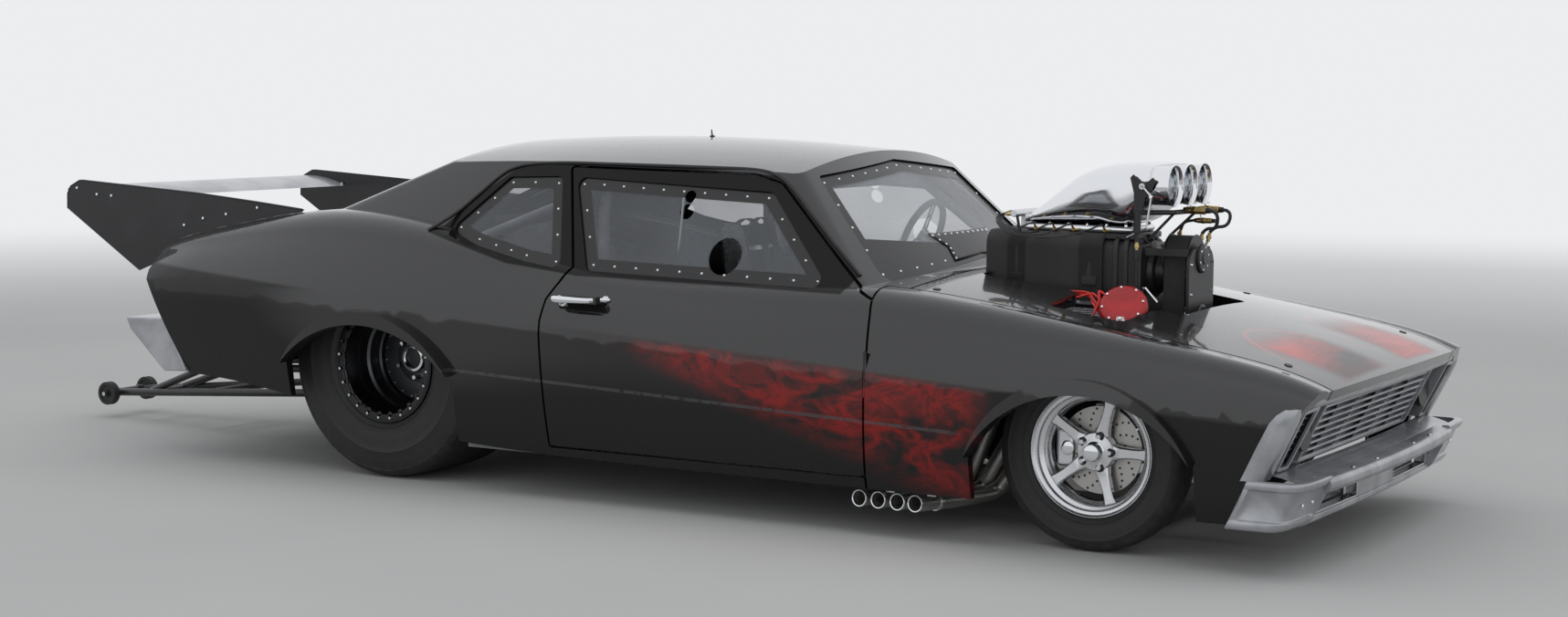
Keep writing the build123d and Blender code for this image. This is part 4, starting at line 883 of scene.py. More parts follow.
def blanket():
    """The cloth round the blower's case, puffed between its straps."""
    path, columns, along = arch(0.15, 0.752, 0.968, 0.052), 72, 0.43
    girth = sum(math.dist(p, q) for p, q in zip(path, path[1:]))
    verts = []
    for i in range(columns + 1):
        x = -0.646 + along * i / columns
        loose = min(1.0, min(abs(x + e) for e in (0.566, 0.5, 0.299, 0.219)) / 0.06)
        for k, (y, z) in enumerate(path):
            sway = math.sin(x * 61 + k * 0.45) * 0.0016 + math.sin(x * 23 - k * 0.23 + 1) * 0.0024
            puff = loose * (0.0035 + sway) if 0 < k < len(path) - 1 else 0
            verts.append(at(x, y, z) + Vector((0, (y > 0.1) - (y < -0.1), z > 0.93)) * puff)
    sheet = verts, sheet_faces(columns + 1, len(path))
    cloth = solid("blower_blanket", BLANKET, [sheet], smooth=60, merge=0.00002)
    walled(cloth, 0.003, 1.0)


def blower_set():
    case = [ring_across(x, half, 0.735, top, 5, 64) for x, half, top in (
        (-0.648, 0.12, 0.945), (-0.645, 0.13, 0.955), (-0.634, 0.138, 0.962), (-0.12, 0.138, 0.962),
        (-0.105, 0.132, 0.955), (-0.1, 0.124, 0.945),
    )]
    solid("blower_case", IRON, [rings(case)], smooth=50, replaces=("blower",), slot="black_metal")
    base = prism("Z", 0.7255, 0.748, oblong(-0.64, -0.104, -0.118, 0.118))
    solid("blower_base", POLISHED, [base], bevel=0.004)
    top = prism("Z", 0.955, 0.9752, oblong(-0.55, -0.11, -0.122, 0.122))
    solid("blower_top_plate", BLACK_METAL, [top], bevel=0.004)
    blanket()
    for name, finish, x0, x1, outer, inner in (
        ("blanket_strap_1", STRAP, -0.566, -0.5, 0.1555, 0.1525),
        ("blanket_strap_2", STRAP, -0.299, -0.219, 0.1555, 0.1525),
        ("blower_rib_1", BLACK_METAL, -0.178, -0.162, 0.144, 0.14),
        ("blower_rib_2", BLACK_METAL, -0.142, -0.126, 0.144, 0.14),
    ):
        section = arch(outer, 0.745, 0.9745, 0.055) + arch(inner, 0.745, 0.9705, 0.052)[::-1]
        solid(name, finish, [prism("X", x0, x1, section)], bevel=0.0008, smooth=50)
    slides = [box(at(x - 0.026, y, 0.8), at(x + 0.026, y + 0.0045, 0.83))
              for x in (-0.533, -0.259) for y in (-0.16, 0.1555)]
    solid("strap_slides", BLACK_METAL, slides, bevel=0.0012)
    centre, fins = at(0, 0, BLOWER_Z), []
    spun("blower_front_housing", BLACK_METAL, BLOWER_FRONT, centre, count=96, smooth=30)
    for s, c in [(s, c) for c, s in circle(1, 14)]:
        out, over = Vector((0, s, c)), Vector((0, s, c)).cross(Vector((1, 0, 0)))
        fins.append(rings([
            [centre + out * r + over * w + Vector((x, 0, 0)) for w, x in oblong(-0.003, 0.003, x0, x1)]
            for r, x0, x1 in ((0.06, -0.106, -0.07), (0.104, -0.106, -0.086), (0.124, -0.112, -0.104))
        ]))
    solid("blower_front_fins", BLACK_METAL, fins, bevel=0.0008)
    bolts = circle_spots(at(-0.1215, 0, BLOWER_Z), 0.119, 12, "X", 0.2)
    studs("blower_front_bolts", bolts, (1, 0, 0), 0.0058, 0.007)
    spun("blower_back_housing", BLACK_METAL, BLOWER_BACK, centre, count=96, smooth=30)
    bolts = circle_spots(at(-0.6512, 0, BLOWER_Z), 0.094, 10, "X", 0.1)
    studs("blower_back_bolts", bolts, (-1, 0, 0), 0.0055, 0.003)


UPPER_Z, UPPER_R, IDLER_Z, LOWER_Z, LOWER_R = 0.895, 0.066, 0.69, 0.45, 0.088


def arc(y, z, radius, start, sweep, count):
    """Points of an arc in y and z."""
    turns = [start + sweep * i / count for i in range(count + 1)]
    return [(y + radius * math.cos(a), z + radius * math.sin(a)) for a in turns]


def belt_line(grow):
    """The closed line of the belt round its two pulleys, in y and z."""
    lift = math.asin((LOWER_R - UPPER_R) / (UPPER_Z - LOWER_Z))
    over = arc(0, UPPER_Z, UPPER_R + grow, -lift, math.pi + 2 * lift, 28)
    return over + arc(0, LOWER_Z, LOWER_R + grow, math.pi + lift, math.pi - 2 * lift, 28)


def frame_shape(outer, inner, front, back, place):
    """A frame between two flat outlines, from a front depth to a back one; place sets pair and depth."""
    edges, n = ((outer, front), (inner, front), (inner, back), (outer, back)), len(outer)
    verts = [place(y, z, depth) for edge, depth in edges for y, z in edge]
    faces = []
    for i in range(n):
        j = (i + 1) % n
        faces += [[k * n + i, k * n + j, (k + 1) % 4 * n + j, (k + 1) % 4 * n + i] for k in range(4)]
    return verts, faces


def belt_drive():
    belt = frame_shape(belt_line(0.0105), belt_line(0.0035), 0.056, -0.02, lambda y, z, x: at(x, y, z))
    solid("drive_belt", BELT_RUBBER, [belt], smooth=40, replaces=("blower_drive",), slot="black_metal")
    boss = [(0, 0.064), (0.03, 0.064), (0.03, 0.07), (0.022, 0.071), (0.02, 0.0715), (0, 0.0715)]
    for label, z, r in (("upper", UPPER_Z, UPPER_R), ("lower", LOWER_Z, LOWER_R)):
        teeth = []
        for a in (TURN * i / 48 for i in range(48)):
            for b, reach in ((a, r), (a + 0.05, r), (a + 0.065, r - 0.003), (a + 0.116, r - 0.003)):
                teeth.append((reach * math.sin(b), z + reach * math.cos(b)))
        solid(f"pulley_{label}", MACHINED, [prism("X", -0.022, 0.058, teeth)], smooth=25)
        for k, x in enumerate((-0.0275, 0.0595)):
            lip = [(0, x), (r + 0.013, x), (r + 0.014, x + 0.0025), (r + 0.013, x + 0.005), (0, x + 0.005)]
            spun(f"pulley_{label}_flange_{k + 1}", BLACK_METAL, lip, at(0, 0, z), count=80)
        spun(f"pulley_{label}_boss", CHROME, boss, at(0, 0, z))
    idler = [(0, -0.02), (0.03, -0.02), (0.034, -0.018), (0.034, 0.054), (0.03, 0.056), (0, 0.056)]
    spun("idler_pulley", MACHINED, idler, at(0, 0.052, IDLER_Z))
    guard = []
    for y, z, quarter in ((0.055, 0.87, 0), (-0.055, 0.87, 1), (-0.055, 0.43, 2), (0.055, 0.43, 3)):
        guard += arc(y, z, 0.06, quarter * math.pi / 2, math.pi / 2, 8)
    solid("belt_guard", BLACK_METAL, [prism("X", 0.0725, 0.0835, guard)], bevel=0.0015)
    arms = [box(at(x, y - 0.0015, low), at(0.0725, y + 0.0015, high)) for y in (-0.104, 0.104)
            for x, low, high in ((-0.024, 0.56, 0.6), (-0.08, 0.905, 0.93))]
    solid("belt_guard_arms", BLACK_METAL, arms, bevel=0.0008)
    cover = [(0, 0.083), (0.05, 0.083), (0.05, 0.089), (0.044, 0.093), (0.02, 0.094), (0.018, 0.097),
             (0, 0.097)]
    bolts = []
    for i, z in enumerate((UPPER_Z, IDLER_Z, LOWER_Z)):
        spun(f"belt_guard_boss_{i + 1}", BLACK_METAL, cover, at(0, 0, z), count=64, smooth=30)
        bolts += circle_spots(at(0.0885, 0, z), 0.038, 6, "X", 0.3)
    bolts += [at(0.0835, y, z) for y in (-0.1, 0.1) for z in (0.45, 0.56, 0.67, 0.78, 0.88)]
    studs("belt_guard_bolts", bolts, (1, 0, 0), 0.005, 0.006)
    mount = prism("X", -0.0995, -0.084, oblong(-0.13, 0.13, 0.64, 0.94))
    solid("drive_mount_plate", BLACK_METAL, [mount], bevel=0.006)


def stood(spot, axis):
    """What takes a shape made about +Z to a place, standing along an axis."""
    return Matrix.Translation(spot) @ axis.to_track_quat("Z", "Y").to_matrix().to_4x4()


CAP_AXIS = Vector((0.15, -0.75, 0.62)).normalized()
CAP = stood(at(-0.085, -0.215, 0.66), CAP_AXIS)


def magneto():
    for name, finish, count, smooth, profile in (
        ("magneto_body", BLACK_METAL, 72, 35, [
            (0, -0.02), (0.036, -0.02), (0.038, 0.04), (0.052, 0.052), (0.06, 0.06), (0.061, 0.104),
            (0.056, 0.11), (0, 0.11)]),
        ("magneto_collar", BLACK_METAL, 80, 30, [
            (0, 0.102), (0.066, 0.102), (0.068, 0.106), (0.068, 0.118), (0, 0.118)]),
        ("magneto_cap", RED, 96, 40, [
            (0, 0.114), (0.076, 0.114), (0.0805, 0.117), (0.0815, 0.122), (0.0815, 0.142), (0.0785, 0.1495),
            (0.071, 0.1545), (0.06, 0.1562), (0.04, 0.1578), (0, 0.1585)]),
    ):
        more = dict(replaces=("magneto",), slot="red") if name == "magneto_body" else {}
        solid(name, finish, [moved(CAP, lathe(profile, axis="Z", count=count))], smooth=smooth, **more)
    screws = [CAP @ p for p in circle_spots(Vector((0, 0, 0.1545)), 0.068, 8, "Z", 0.2)]
    studs("magneto_screws", screws, CAP_AXIS, 0.0052, 0.0045, 0.75, 12)
    bracket = [moved(CAP, box((-0.013, -0.092, 0.1535), (0.013, -0.05, 0.1575))),
               moved(CAP, box((-0.013, -0.095, 0.085), (0.013, -0.088, 0.1575)))]
    solid("magneto_bracket", BARE_STEEL, bracket, bevel=0.001)
    studs("magneto_bracket_bolt", [CAP @ Vector((0, -0.06, 0.157))], CAP_AXIS, 0.007, 0.007)


injector_hat()
blower_set()
belt_drive()
magneto()


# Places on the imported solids
def packed_surface(*nodes):
    verts, faces = [], []
    for mesh in (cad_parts[node].data for node in nodes):
        faces += [[i + len(verts) for i in f.vertices] for f in mesh.polygons]
        verts += [v.co.copy() for v in mesh.vertices]
    return BVHTree.FromPolygons(verts, faces)


def landed(surface, start, towards):
    """Where a straight line first meets a surface, and the way the surface faces there."""
    towards = Vector(towards)
    spot, facing, _, _ = surface.ray_cast(start, towards.normalized())
    if spot is not None and facing.dot(towards) > 0:
        facing = -facing
    return spot, facing


def landings(surface, starts, towards):
    """Where lines meet a surface and the ways it faces there, without the lines that miss it."""
    found = [landed(surface, start, towards) for start in starts]
    found = [pair for pair in found if pair[0] is not None]
    return [spot for spot, _ in found], [facing for _, facing in found]


def set_in(outline, distance):
    """A flat outline drawn inwards, corner by corner."""
    n, turn, made = len(outline), turning(outline), []
    for i in range(n):
        before, here, after = Vector(outline[i - 1]), Vector(outline[i]), Vector(outline[(i + 1) % n])
        first, second = (here - before).normalized(), (after - here).normalized()
        first_in, second_in = Vector((-first.y, first.x)) * turn, Vector((-second.y, second.x)) * turn
        middle = (first_in + second_in).normalized()
        made.append(tuple(here + middle * distance / max(0.3, middle.dot(second_in))))
    return made


def spots_along(outline, pitch, corner):
    """Evenly spaced points along a closed flat outline."""
    spots = []
    for p, q in zip(map(Vector, outline), map(Vector, outline[1:] + outline[:1])):
        length, ahead = (q - p).length - 2 * corner, (q - p).normalized()
        count = max(1, round(length / pitch))
        spots += [tuple(p + ahead * (corner + length * i / count)) for i in range(count)]
    return spots


def pane_rivets(name, node, outline, start, towards, body=CAR):
    spots = [start(a, b) for a, b in spots_along(set_in(outline, 0.021), 0.085, 0.004)]
    studs(name, *landings(packed_surface(node), spots, towards), 0.0048, 0.0024, 0.45, 14, body=body)


RAIL = [  # ahead, up
    (-0.83, 0.842), (-0.93, 0.93), (-1.05, 1.036), (-1.15, 1.122), (-1.215, 1.163), (-1.3, 1.1785),
    (-1.45, 1.182), (-1.6, 1.184), (-1.75, 1.185), (-1.9, 1.186), (-2.04, 1.187), (-2.18, 1.183),
    (-2.28, 1.172), (-2.345, 1.145), (-2.43, 1.066), (-2.52, 0.985), (-2.575, 0.934),
]
HANDLE = [  # ahead, distance off the door, half height, thickness
    (-1.93, 0.0155, 0.003, 0.003), (-1.929, 0.0165, 0.0075, 0.006), (-1.924, 0.0185, 0.011, 0.0085),
    (-1.91, 0.0205, 0.0125, 0.01), (-1.88, 0.0225, 0.012, 0.01), (-1.84, 0.023, 0.0108, 0.0095),
    (-1.8, 0.0215, 0.0096, 0.009), (-1.77, 0.0185, 0.0086, 0.0085), (-1.75, 0.014, 0.0076, 0.008),
    (-1.735, 0.0085, 0.0062, 0.007), (-1.729, 0.0045, 0.0035, 0.0045),
]
HANDLE_Z = 0.728
PLATE_BOLTS = [
    (-4.25, 1.009), (-4.33, 1.012), (-4.44, 1.035), (-3.48, 0.985), (-3.64, 0.955), (-3.76, 0.935),
    (-3.86, 0.905),
]
PLATE_EDGE = [
    (-3.262, 0.984), (-3.5, 1.0062), (-3.8, 1.0308), (-4.1, 1.047), (-4.428, 1.0652), (-4.48, 1.04),
    (-4.498, 1.01), (-4.499, 0.95),
]


def drip_rail(name, side):
    """The raised gutter over the side windows."""
    starts = [at(x, side * 2, z) for x, z in RAIL]
    found = zip(*landings(packed_surface("body_shell"), starts, (0, -side, 0)))
    line = [spot + out * 0.002 for spot, out in found if abs(spot.y) > 0.45]
    solid(f"drip_rail_{name}", TRIM, [wire(line, 0.0065, 12)], smooth=50)


def door_handle(name, side):
    """A bright pull handle with its push button, on the door."""
    surface, body = packed_surface(f"door_{name}"), f"door_{name}_body"

    def on_door(x, z):
        return landed(surface, at(x, side * 2, z), (0, -side, 0))

    loops = []
    for x, lift, half, thick in HANDLE:
        centre = on_door(x, HANDLE_Z)[0] + Vector((0, side * lift, 0))
        loops.append([centre + Vector((0, side * thick * 0.5 * c, half * s)) for c, s in circle(1, 16)])
    solid(f"door_handle_{name}", CHROME, [rings(loops)], body, levels=1, smooth=60)
    spot, out = on_door(-1.915, 0.713)
    start, end = spot - out * 0.002, spot + out * 0.02
    button = [rod(start, start + out * 0.008, 0.0175, 40), rod(start, end, 0.0125, 32)]
    solid(f"door_button_{name}", CHROME, button, body, bevel=0.0022, segments=3)
    shoes = []
    for x, reach in ((-1.905, 0.018), (-1.752, 0.012)):
        spot, out = on_door(x, HANDLE_Z)
        shoes.append(rod(spot - out * 0.002, spot + out * reach, 0.0085, 24, 0.007))
        shoes.append(rod(spot - out * 0.002, spot + out * 0.0035, 0.0125, 28))
    solid(f"door_handle_shoes_{name}", CHROME, shoes, body, bevel=0.001)


def wing_hardware():
    """Bolts that hold the wing's plates, and the pins of the boot, bonnet and roof."""
    for name, side in SIDES:
        spots = [at(x, side * 0.7053, z) for x, z in PLATE_BOLTS]
        studs(f"wing_plate_bolts_{name}", spots, (0, side, 0), 0.0065, 0.006)
        spots = [v - Vector((0, side * 0.0107, 0)) for v in spots]
        studs(f"wing_plate_nuts_{name}", spots, (0, -side, 0), 0.0065, 0.006, 0.9)
        edge = [at(x, side * 0.7028, z) for x, z in PLATE_EDGE]
        solid(f"wing_plate_edge_{name}", TRIM, [wire(edge, 0.0042, 8, 2)], smooth=50)
    starts = [at(x, y, 2) for x, y in ((-3.36, -0.5), (-3.36, 0.5), (-3.84, -0.52), (-3.84, 0.52))]
    pins, facing = landings(packed_surface("boot_lid", "body_shell"), starts, (0, 0, -1))
    studs("boot_fasteners", pins, facing, 0.016, 0.0035, 0.86, 28, MACHINED)
    heads = [p + f * 0.0035 for p, f in zip(pins, facing)]
    studs("boot_fastener_heads", heads, facing, 0.007, 0.003, 0.7, 20)
    places = ((0.6, -0.6), (0.6, 0.6), (-0.58, -0.66), (-0.58, 0.66), (0, -0.68), (0, 0.68))
    pins, facing = landings(packed_surface("bonnet"), [at(x, y, 2) for x, y in places], (0, 0, -1))
    studs("bonnet_fasteners", pins, facing, 0.014, 0.003, 0.86, 28, BLACK_METAL)
    spot, out = landed(packed_surface("body_shell"), at(-1.863, 0, 2), (0, 0, -1))
    pin = [rod(spot - out * 0.002, spot + out * 0.004, 0.01, 28),
           rod(spot, spot + Vector((-0.004, 0, 0.026)), 0.0036, 12, 0.0022)]
    solid("roof_pin", TRIM, pin, bevel=0.0006)


for name, side in SIDES:
    beside, inwards = lambda x, z: at(x, side * 2, z), (0, -side, 0)
    pane_rivets(f"door_pane_rivets_{name}", f"door_glass_{name}", DOOR_PANE, beside, inwards,
                f"door_{name}_body")
    pane_rivets(f"quarter_pane_rivets_{name}", "quarter_windows", QUARTER_PANE, beside, inwards)
    drip_rail(name, side)
    door_handle(name, side)
pane_rivets("screen_pane_rivets", "windscreen", SCREEN_PANE, lambda y, z: at(1, y, z), (-1, 0, 0))
pane_rivets("rear_pane_rivets", "rear_window", REAR_PANE, lambda x, y: at(x, y, 2), (0, 0, -1))
wing_hardware()


# Hoses, leads, fittings and linkage round the engine
def hose(name, points, diameter, finish):
    """A hose or lead along a smooth line; its length is summed but not used."""
    made = smooth_curve(name, points, 3, 10)
    line, curve = evaluated(made), made.data
    ends = ([line.vertices[i].co for i in e.vertices] for e in line.edges)
    length = sum((start - end).length for start, end in ends)
    bpy.data.meshes.remove(line)
    curve.bevel_depth, curve.bevel_resolution = diameter / 2, 2
    curve.materials.append(finish.material)
    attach(made, CAR)
    tuple(points[0])


def fitting(spot, towards, radius, length):
    """Shapes of a union: a six-sided nut with a round shank on both sides."""
    ahead = Vector(towards).normalized() * length
    rows = ((0, 0.35, 0.72, 16), (0.3, 0.68, 1, 6), (0.65, 1, 0.66, 16))  # from, to, thickness, sides
    return [rod(spot + ahead * low, spot + ahead * high, radius * thick, n) for low, high, thick, n in rows]


def injection_lines():
    for name, side in SIDES:
        nozzles, ports = [], []
        upwards, away = Vector((0, side * 0.75, 0.66)), Vector((-0.8, side * 0.5, 0.1))
        for k, x in enumerate((-0.47, -0.4, -0.33, -0.215)):
            foot = at(x, side * 0.1165, 0.974)
            nozzles += fitting(foot, upwards, 0.0075, 0.03)
            tip = foot + upwards.normalized() * 0.03
            port = at(-0.575 - 0.004 * k, side * (0.03 + 0.017 * k), 1.034 - 0.003 * k)
            ports += fitting(port, away, 0.0068, 0.022)
            start = port + away.normalized() * 0.022
            route = [
                start, start + Vector((-0.022, side * 0.018, 0)),
                at(-0.612, side * (0.126 + 0.008 * k), 1.004 - 0.002 * k),
                at(-0.545, side * (0.166 + 0.007 * k), 0.984 - 0.008 * k),
                at((x - 0.53) / 2, side * (0.176 + 0.005 * k), 0.976 - 0.007 * k),
                at(x - 0.045, side * 0.182, 0.985), at(x - 0.004, side * 0.168, 1.004),
                tip + Vector((0, side * 0.01, 0.012)), tip,
            ]
            hose(f"injection_hose_{name}_{k + 1}", route, 0.0062, HOSE)
        solid(f"nozzle_fittings_{name}", BRASS, nozzles, bevel=0.0005)
        solid(f"manifold_fittings_{name}", BRASS, ports, bevel=0.0005)
    manifold = [rod(at(-0.572, -0.095, 1.03), at(-0.572, 0.095, 1.03), 0.0125, 24),
                box(at(-0.578, -0.02, 0.985), at(-0.56, 0.02, 1.026))]
    solid("fuel_manifold", MACHINED, manifold, bevel=0.0015)
    posts = [((-0.56, y, 0.97), (-0.57, y, 1.022), 0.005) for y in (-0.07, 0.07)]
    rods("fuel_manifold_posts", BLACK_METAL, posts)


SLIDER_Y = -0.2085
LINKAGE = [  # name, finish, edge, rods
    ("linkage_slider", BLACK_METAL, 0.0015, [
        ((-0.066, SLIDER_Y, 1.058), (-0.067, SLIDER_Y, 0.985), 0.0125, 24),
        ((-0.067, SLIDER_Y, 0.985), (-0.067, SLIDER_Y, 0.955), 0.0075, 20),
        ((-0.067, SLIDER_Y, 0.93), (-0.068, SLIDER_Y, 0.896), 0.0105, 20)]),
    ("linkage_rod", BLACK_METAL, 0, [((-0.067, SLIDER_Y, 0.96), (-0.068, SLIDER_Y, 0.758), 0.0046, 14)]),
    ("linkage_pull_rod", CHROME, 0, [
        ((-0.014, -0.2195, 1.108), (-0.03, -0.2195, 1.005), 0.0035, 12),
        ((-0.03, -0.2195, 1.005), (-0.11, -0.19, 0.968), 0.0035, 12)]),
    ("fuel_crossbar", BLACK_METAL, 0.001, [
        ((-0.064, -0.208, 1.054), (0.004, -0.06, 1.05), 0.0085, 20),
        ((0.004, -0.06, 1.05), (0.01, 0.19, 1.048), 0.0085, 20)]),
    ("fuel_crossbar_braces", BLACK_METAL, 0, [
        ((0.004, -0.055, 1.048), (-0.07, -0.09, 0.96), 0.005, 14),
        ((0.01, 0.13, 1.046), (-0.07, 0.09, 0.96), 0.005, 14)]),
    ("fuel_pipes", BARE_STEEL, 0, [
        ((0.05, 0.07, 0.946), (0.03, 0.06, 0.9), 0.0048, 14),
        ((0.05, 0.142, 0.946), (0.03, 0.132, 0.9), 0.0048, 14)]),
    ("drive_struts", CHROME, 0.0012, [
        ((-0.135, -0.18, 0.8), (-0.1, -0.24, 0.788), 0.0065, 16),
        ((-0.1, -0.238, 0.789), (-0.07, -0.262, 0.752), 0.0055, 16),
        ((-0.02, -0.135, 0.75), (-0.06, -0.15, 0.8), 0.0065, 16),
        ((-0.06, -0.15, 0.8), (-0.085, -0.135, 0.76), 0.0065, 16)]),
]
BRACKET = [
    (-0.094, 1.17), (-0.082, 1.181), (-0.06, 1.16), (-0.046, 1.156), (-0.028, 1.16), (-0.014, 1.172),
    (-0.004, 1.163), (-0.016, 1.13), (-0.04, 1.102), (-0.05, 1.05), (-0.08, 1.05), (-0.08, 1.118),
]
FUEL_HOSES = [  # diameter, places
    (0.012, [(0.094, 0.165, 1.052), (0.112, 0.165, 1.052), (0.124, 0.162, 1.03), (0.112, 0.155, 0.996),
             (0.07, 0.146, 0.994), (0.056, 0.142, 0.974)]),
    (0.012, [(0.092, 0.045, 1.054), (0.108, 0.046, 1.054), (0.12, 0.052, 1.03), (0.108, 0.06, 0.992),
             (0.07, 0.068, 0.994), (0.056, 0.07, 0.974)]),
    (0.01, [(0.01, 0.118, 1.016), (-0.01, 0.12, 1.014), (-0.034, 0.132, 1.006), (-0.046, 0.146, 0.994),
            (-0.052, 0.15, 0.98)]),
]


def throttle_linkage():
    for name, side in SIDES:
        rods(f"throttle_arm_{name}", MACHINED, [
            ((-0.046, side * 0.2, MOUTH_Z), (-0.046, side * 0.226, MOUTH_Z), 0.0105, 24),
            ((-0.046, side * 0.219, MOUTH_Z), (-0.014, side * 0.219, 1.108), 0.0042, 12),
        ], 0.0008)
        end = ((-0.014, side * 0.213, 1.108), (-0.014, side * 0.226, 1.108), 0.006, 20)
        rods(f"throttle_arm_end_{name}", CHROME, [end], 0.0008)
    solid("linkage_bracket", BLACK_METAL, [prism("Y", -0.2065, -0.2105, BRACKET)], bevel=0.0008)
    for name, finish, bevel, runs in LINKAGE:
        rods(name, finish, runs, bevel)
    joints = fitting(at(-0.067, SLIDER_Y, 0.956), (0, 0, -1), 0.0085, 0.028)
    joints += fitting(at(-0.068, SLIDER_Y, 0.79), (0, 0, -1), 0.0075, 0.024)
    solid("linkage_joints", BRASS, joints, bevel=0.0006)


def fuel_valves():
    bodies, caps, levers = [], [], []
    for x, y, z, length, r in (
        (0.008, 0.045, 1.054, 0.07, 0.0125), (0.014, 0.165, 1.052, 0.066, 0.0125),
        (0.02, 0.118, 1.016, 0.052, 0.0095),
    ):
        start, end = at(x, y, z), at(x + length, y, z)
        quarter, lid = start + Vector((length * 0.25, 0, 0)), r + 0.01
        bodies += [rod(start, end, r, 28), rod(start.lerp(end, 0.3), start.lerp(end, 0.52), r * 1.25, 6)]
        caps.append(rod(end, end + Vector((0.014, 0, 0)), r * 0.86, 6))
        caps.append(rod(start - Vector((0.01, 0, 0)), start, r * 0.8, 20))
        levers.append(rod(quarter, quarter + Vector((0, 0, r + 0.012)), 0.0042, 12))
        low, high = (length * 0.05, -0.003, lid), (length * 0.5, 0.003, lid + 0.003)
        levers.append(box(start + Vector(low), start + Vector(high)))
    solid("fuel_valve_bodies", BRASS, bodies, bevel=0.0008)
    solid("fuel_valve_caps", BLACK_METAL, caps, bevel=0.0008)
    solid("fuel_valve_levers", CHROME, levers, bevel=0.0005)
    unions = fitting(at(0.05, 0.142, 0.944), (0.2, 0, 0.98), 0.0095, 0.03)
    unions += fitting(at(0.05, 0.07, 0.944), (0.2, 0, 0.98), 0.0095, 0.03)
    unions += fitting(at(-0.06, 0.15, 0.955), (0.3, 0, 0.95), 0.0085, 0.026)
    solid("fuel_unions", BRASS, unions, bevel=0.0006)
    for i, (diameter, places) in enumerate(FUEL_HOSES):
        hose(f"fuel_hose_{i + 1}", [at(*place) for place in places], diameter, HOSE)


ROCKER_TILT = math.atan2(0.06, 0.125)
ROCKER = [(-0.058, 0), (0.058, 0), (0.056, 0.03), (0.046, 0.044), (-0.046, 0.044), (-0.056, 0.03)]


def plug_lead(name, side, k, x, boot):
    """One lead: from the magneto to a plug on the right, or from behind the drive to one on the left."""
    lift = 0.006 * (k % 2)
    if side < 0:
        a = 0.35 + 0.3 * k - 0.7
        start = CAP @ Vector((-0.081 * math.cos(a), 0.081 * math.sin(a) + 0.01, 0.128))
        route = [start, start + Vector((-0.03, 0.004, 0.022))]
        if k < 3:
            route.append(at(-0.205, -0.262 - 0.004 * k, 0.782 + lift))
    else:
        low = 0.7 - 0.01 * k
        route = [at(-0.1085, -0.12, low + 0.004), at(-0.1085, 0, low), at(-0.1085, 0.13, low),
                 at(-0.135, 0.215, 0.752 + lift), at(-0.19 if k < 3 else -0.15, 0.26, 0.776 + lift)]
    if k < 2:
        route.append(at((x - 0.2) / 2, side * (0.268 + 0.006 * k), 0.778 + lift))
        route.append(at(x + 0.08, side * 0.28, 0.78 + lift))
    route += [at(x + 0.038, side * 0.318, 0.758 + lift), boot + Vector((0.002, side * 0.016, 0.03)), boot]
    hose(f"plug_lead_{name}_{k + 1}", route, 0.0085, RED_LEAD)


def rocker_covers():
    """Finned covers on both banks, with the plug leads and their boots."""
    for name, side in SIDES:
        out = Vector((0, side * math.sin(ROCKER_TILT), math.cos(ROCKER_TILT)))
        over = Vector((0, side * math.cos(ROCKER_TILT), -math.sin(ROCKER_TILT)))

        def on_cover(x, w, h):
            return at(x, side * 0.2775, 0.67) + over * w + out * h

        loops = [[on_cover(x, w * wide, h * tall) for w, h in ROCKER] for x, wide, tall in (
            (-0.622, 0.952, 0.97), (-0.616, 1, 1), (-0.124, 1, 1), (-0.118, 0.952, 0.97))]
        solid(f"rocker_cover_{name}", DARK_ALLOY, [rings(loops)], bevel=0.004, segments=3)
        ribs = []
        for w in (-0.04 + 0.01 * i for i in range(9)):
            section = oblong(w - 0.002, w + 0.002, 0.042, 0.047)
            ribs.append(rings([[on_cover(x, v, h) for v, h in section] for x in (-0.6, -0.14)]))
        solid(f"rocker_cover_ribs_{name}", MACHINED, ribs)
        bolts = [on_cover(x, w, 0.03) for x in (-0.6, -0.48, -0.37, -0.26, -0.14) for w in (-0.058, 0.058)]
        studs(f"rocker_cover_bolts_{name}", bolts, out, 0.0055, 0.008)
        boots = []
        for k, x in enumerate((-0.56, -0.435, -0.31, -0.185)):
            plug = at(x + 0.03, side * 0.3425, 0.65)
            boot = plug + Vector((0, side * 0.02, 0.034))
            boots.append(rod(plug, boot, 0.0085, 16, 0.0065))
            plug_lead(name, side, k, x, boot)
        solid(f"plug_boots_{name}", TRIM, boots, bevel=0.0012)
    towers = []
    for a in (-0.5 + 0.26 * k for k in range(8)):
        start, end = [CAP @ Vector((-r * math.cos(a), r * math.sin(a), 0.128)) for r in (0.074, 0.086)]
        towers.append(rod(start, end, 0.0065, 14, 0.0055))
    solid("magneto_towers", RED, towers, bevel=0.0008)


TIP_RING = [
    (0.0238, -0.01), (0.0272, -0.01), (0.0286, -0.004), (0.0286, 0.001), (0.0272, 0.0028), (0.025, 0.0026),
    (0.0238, 0.001),
]


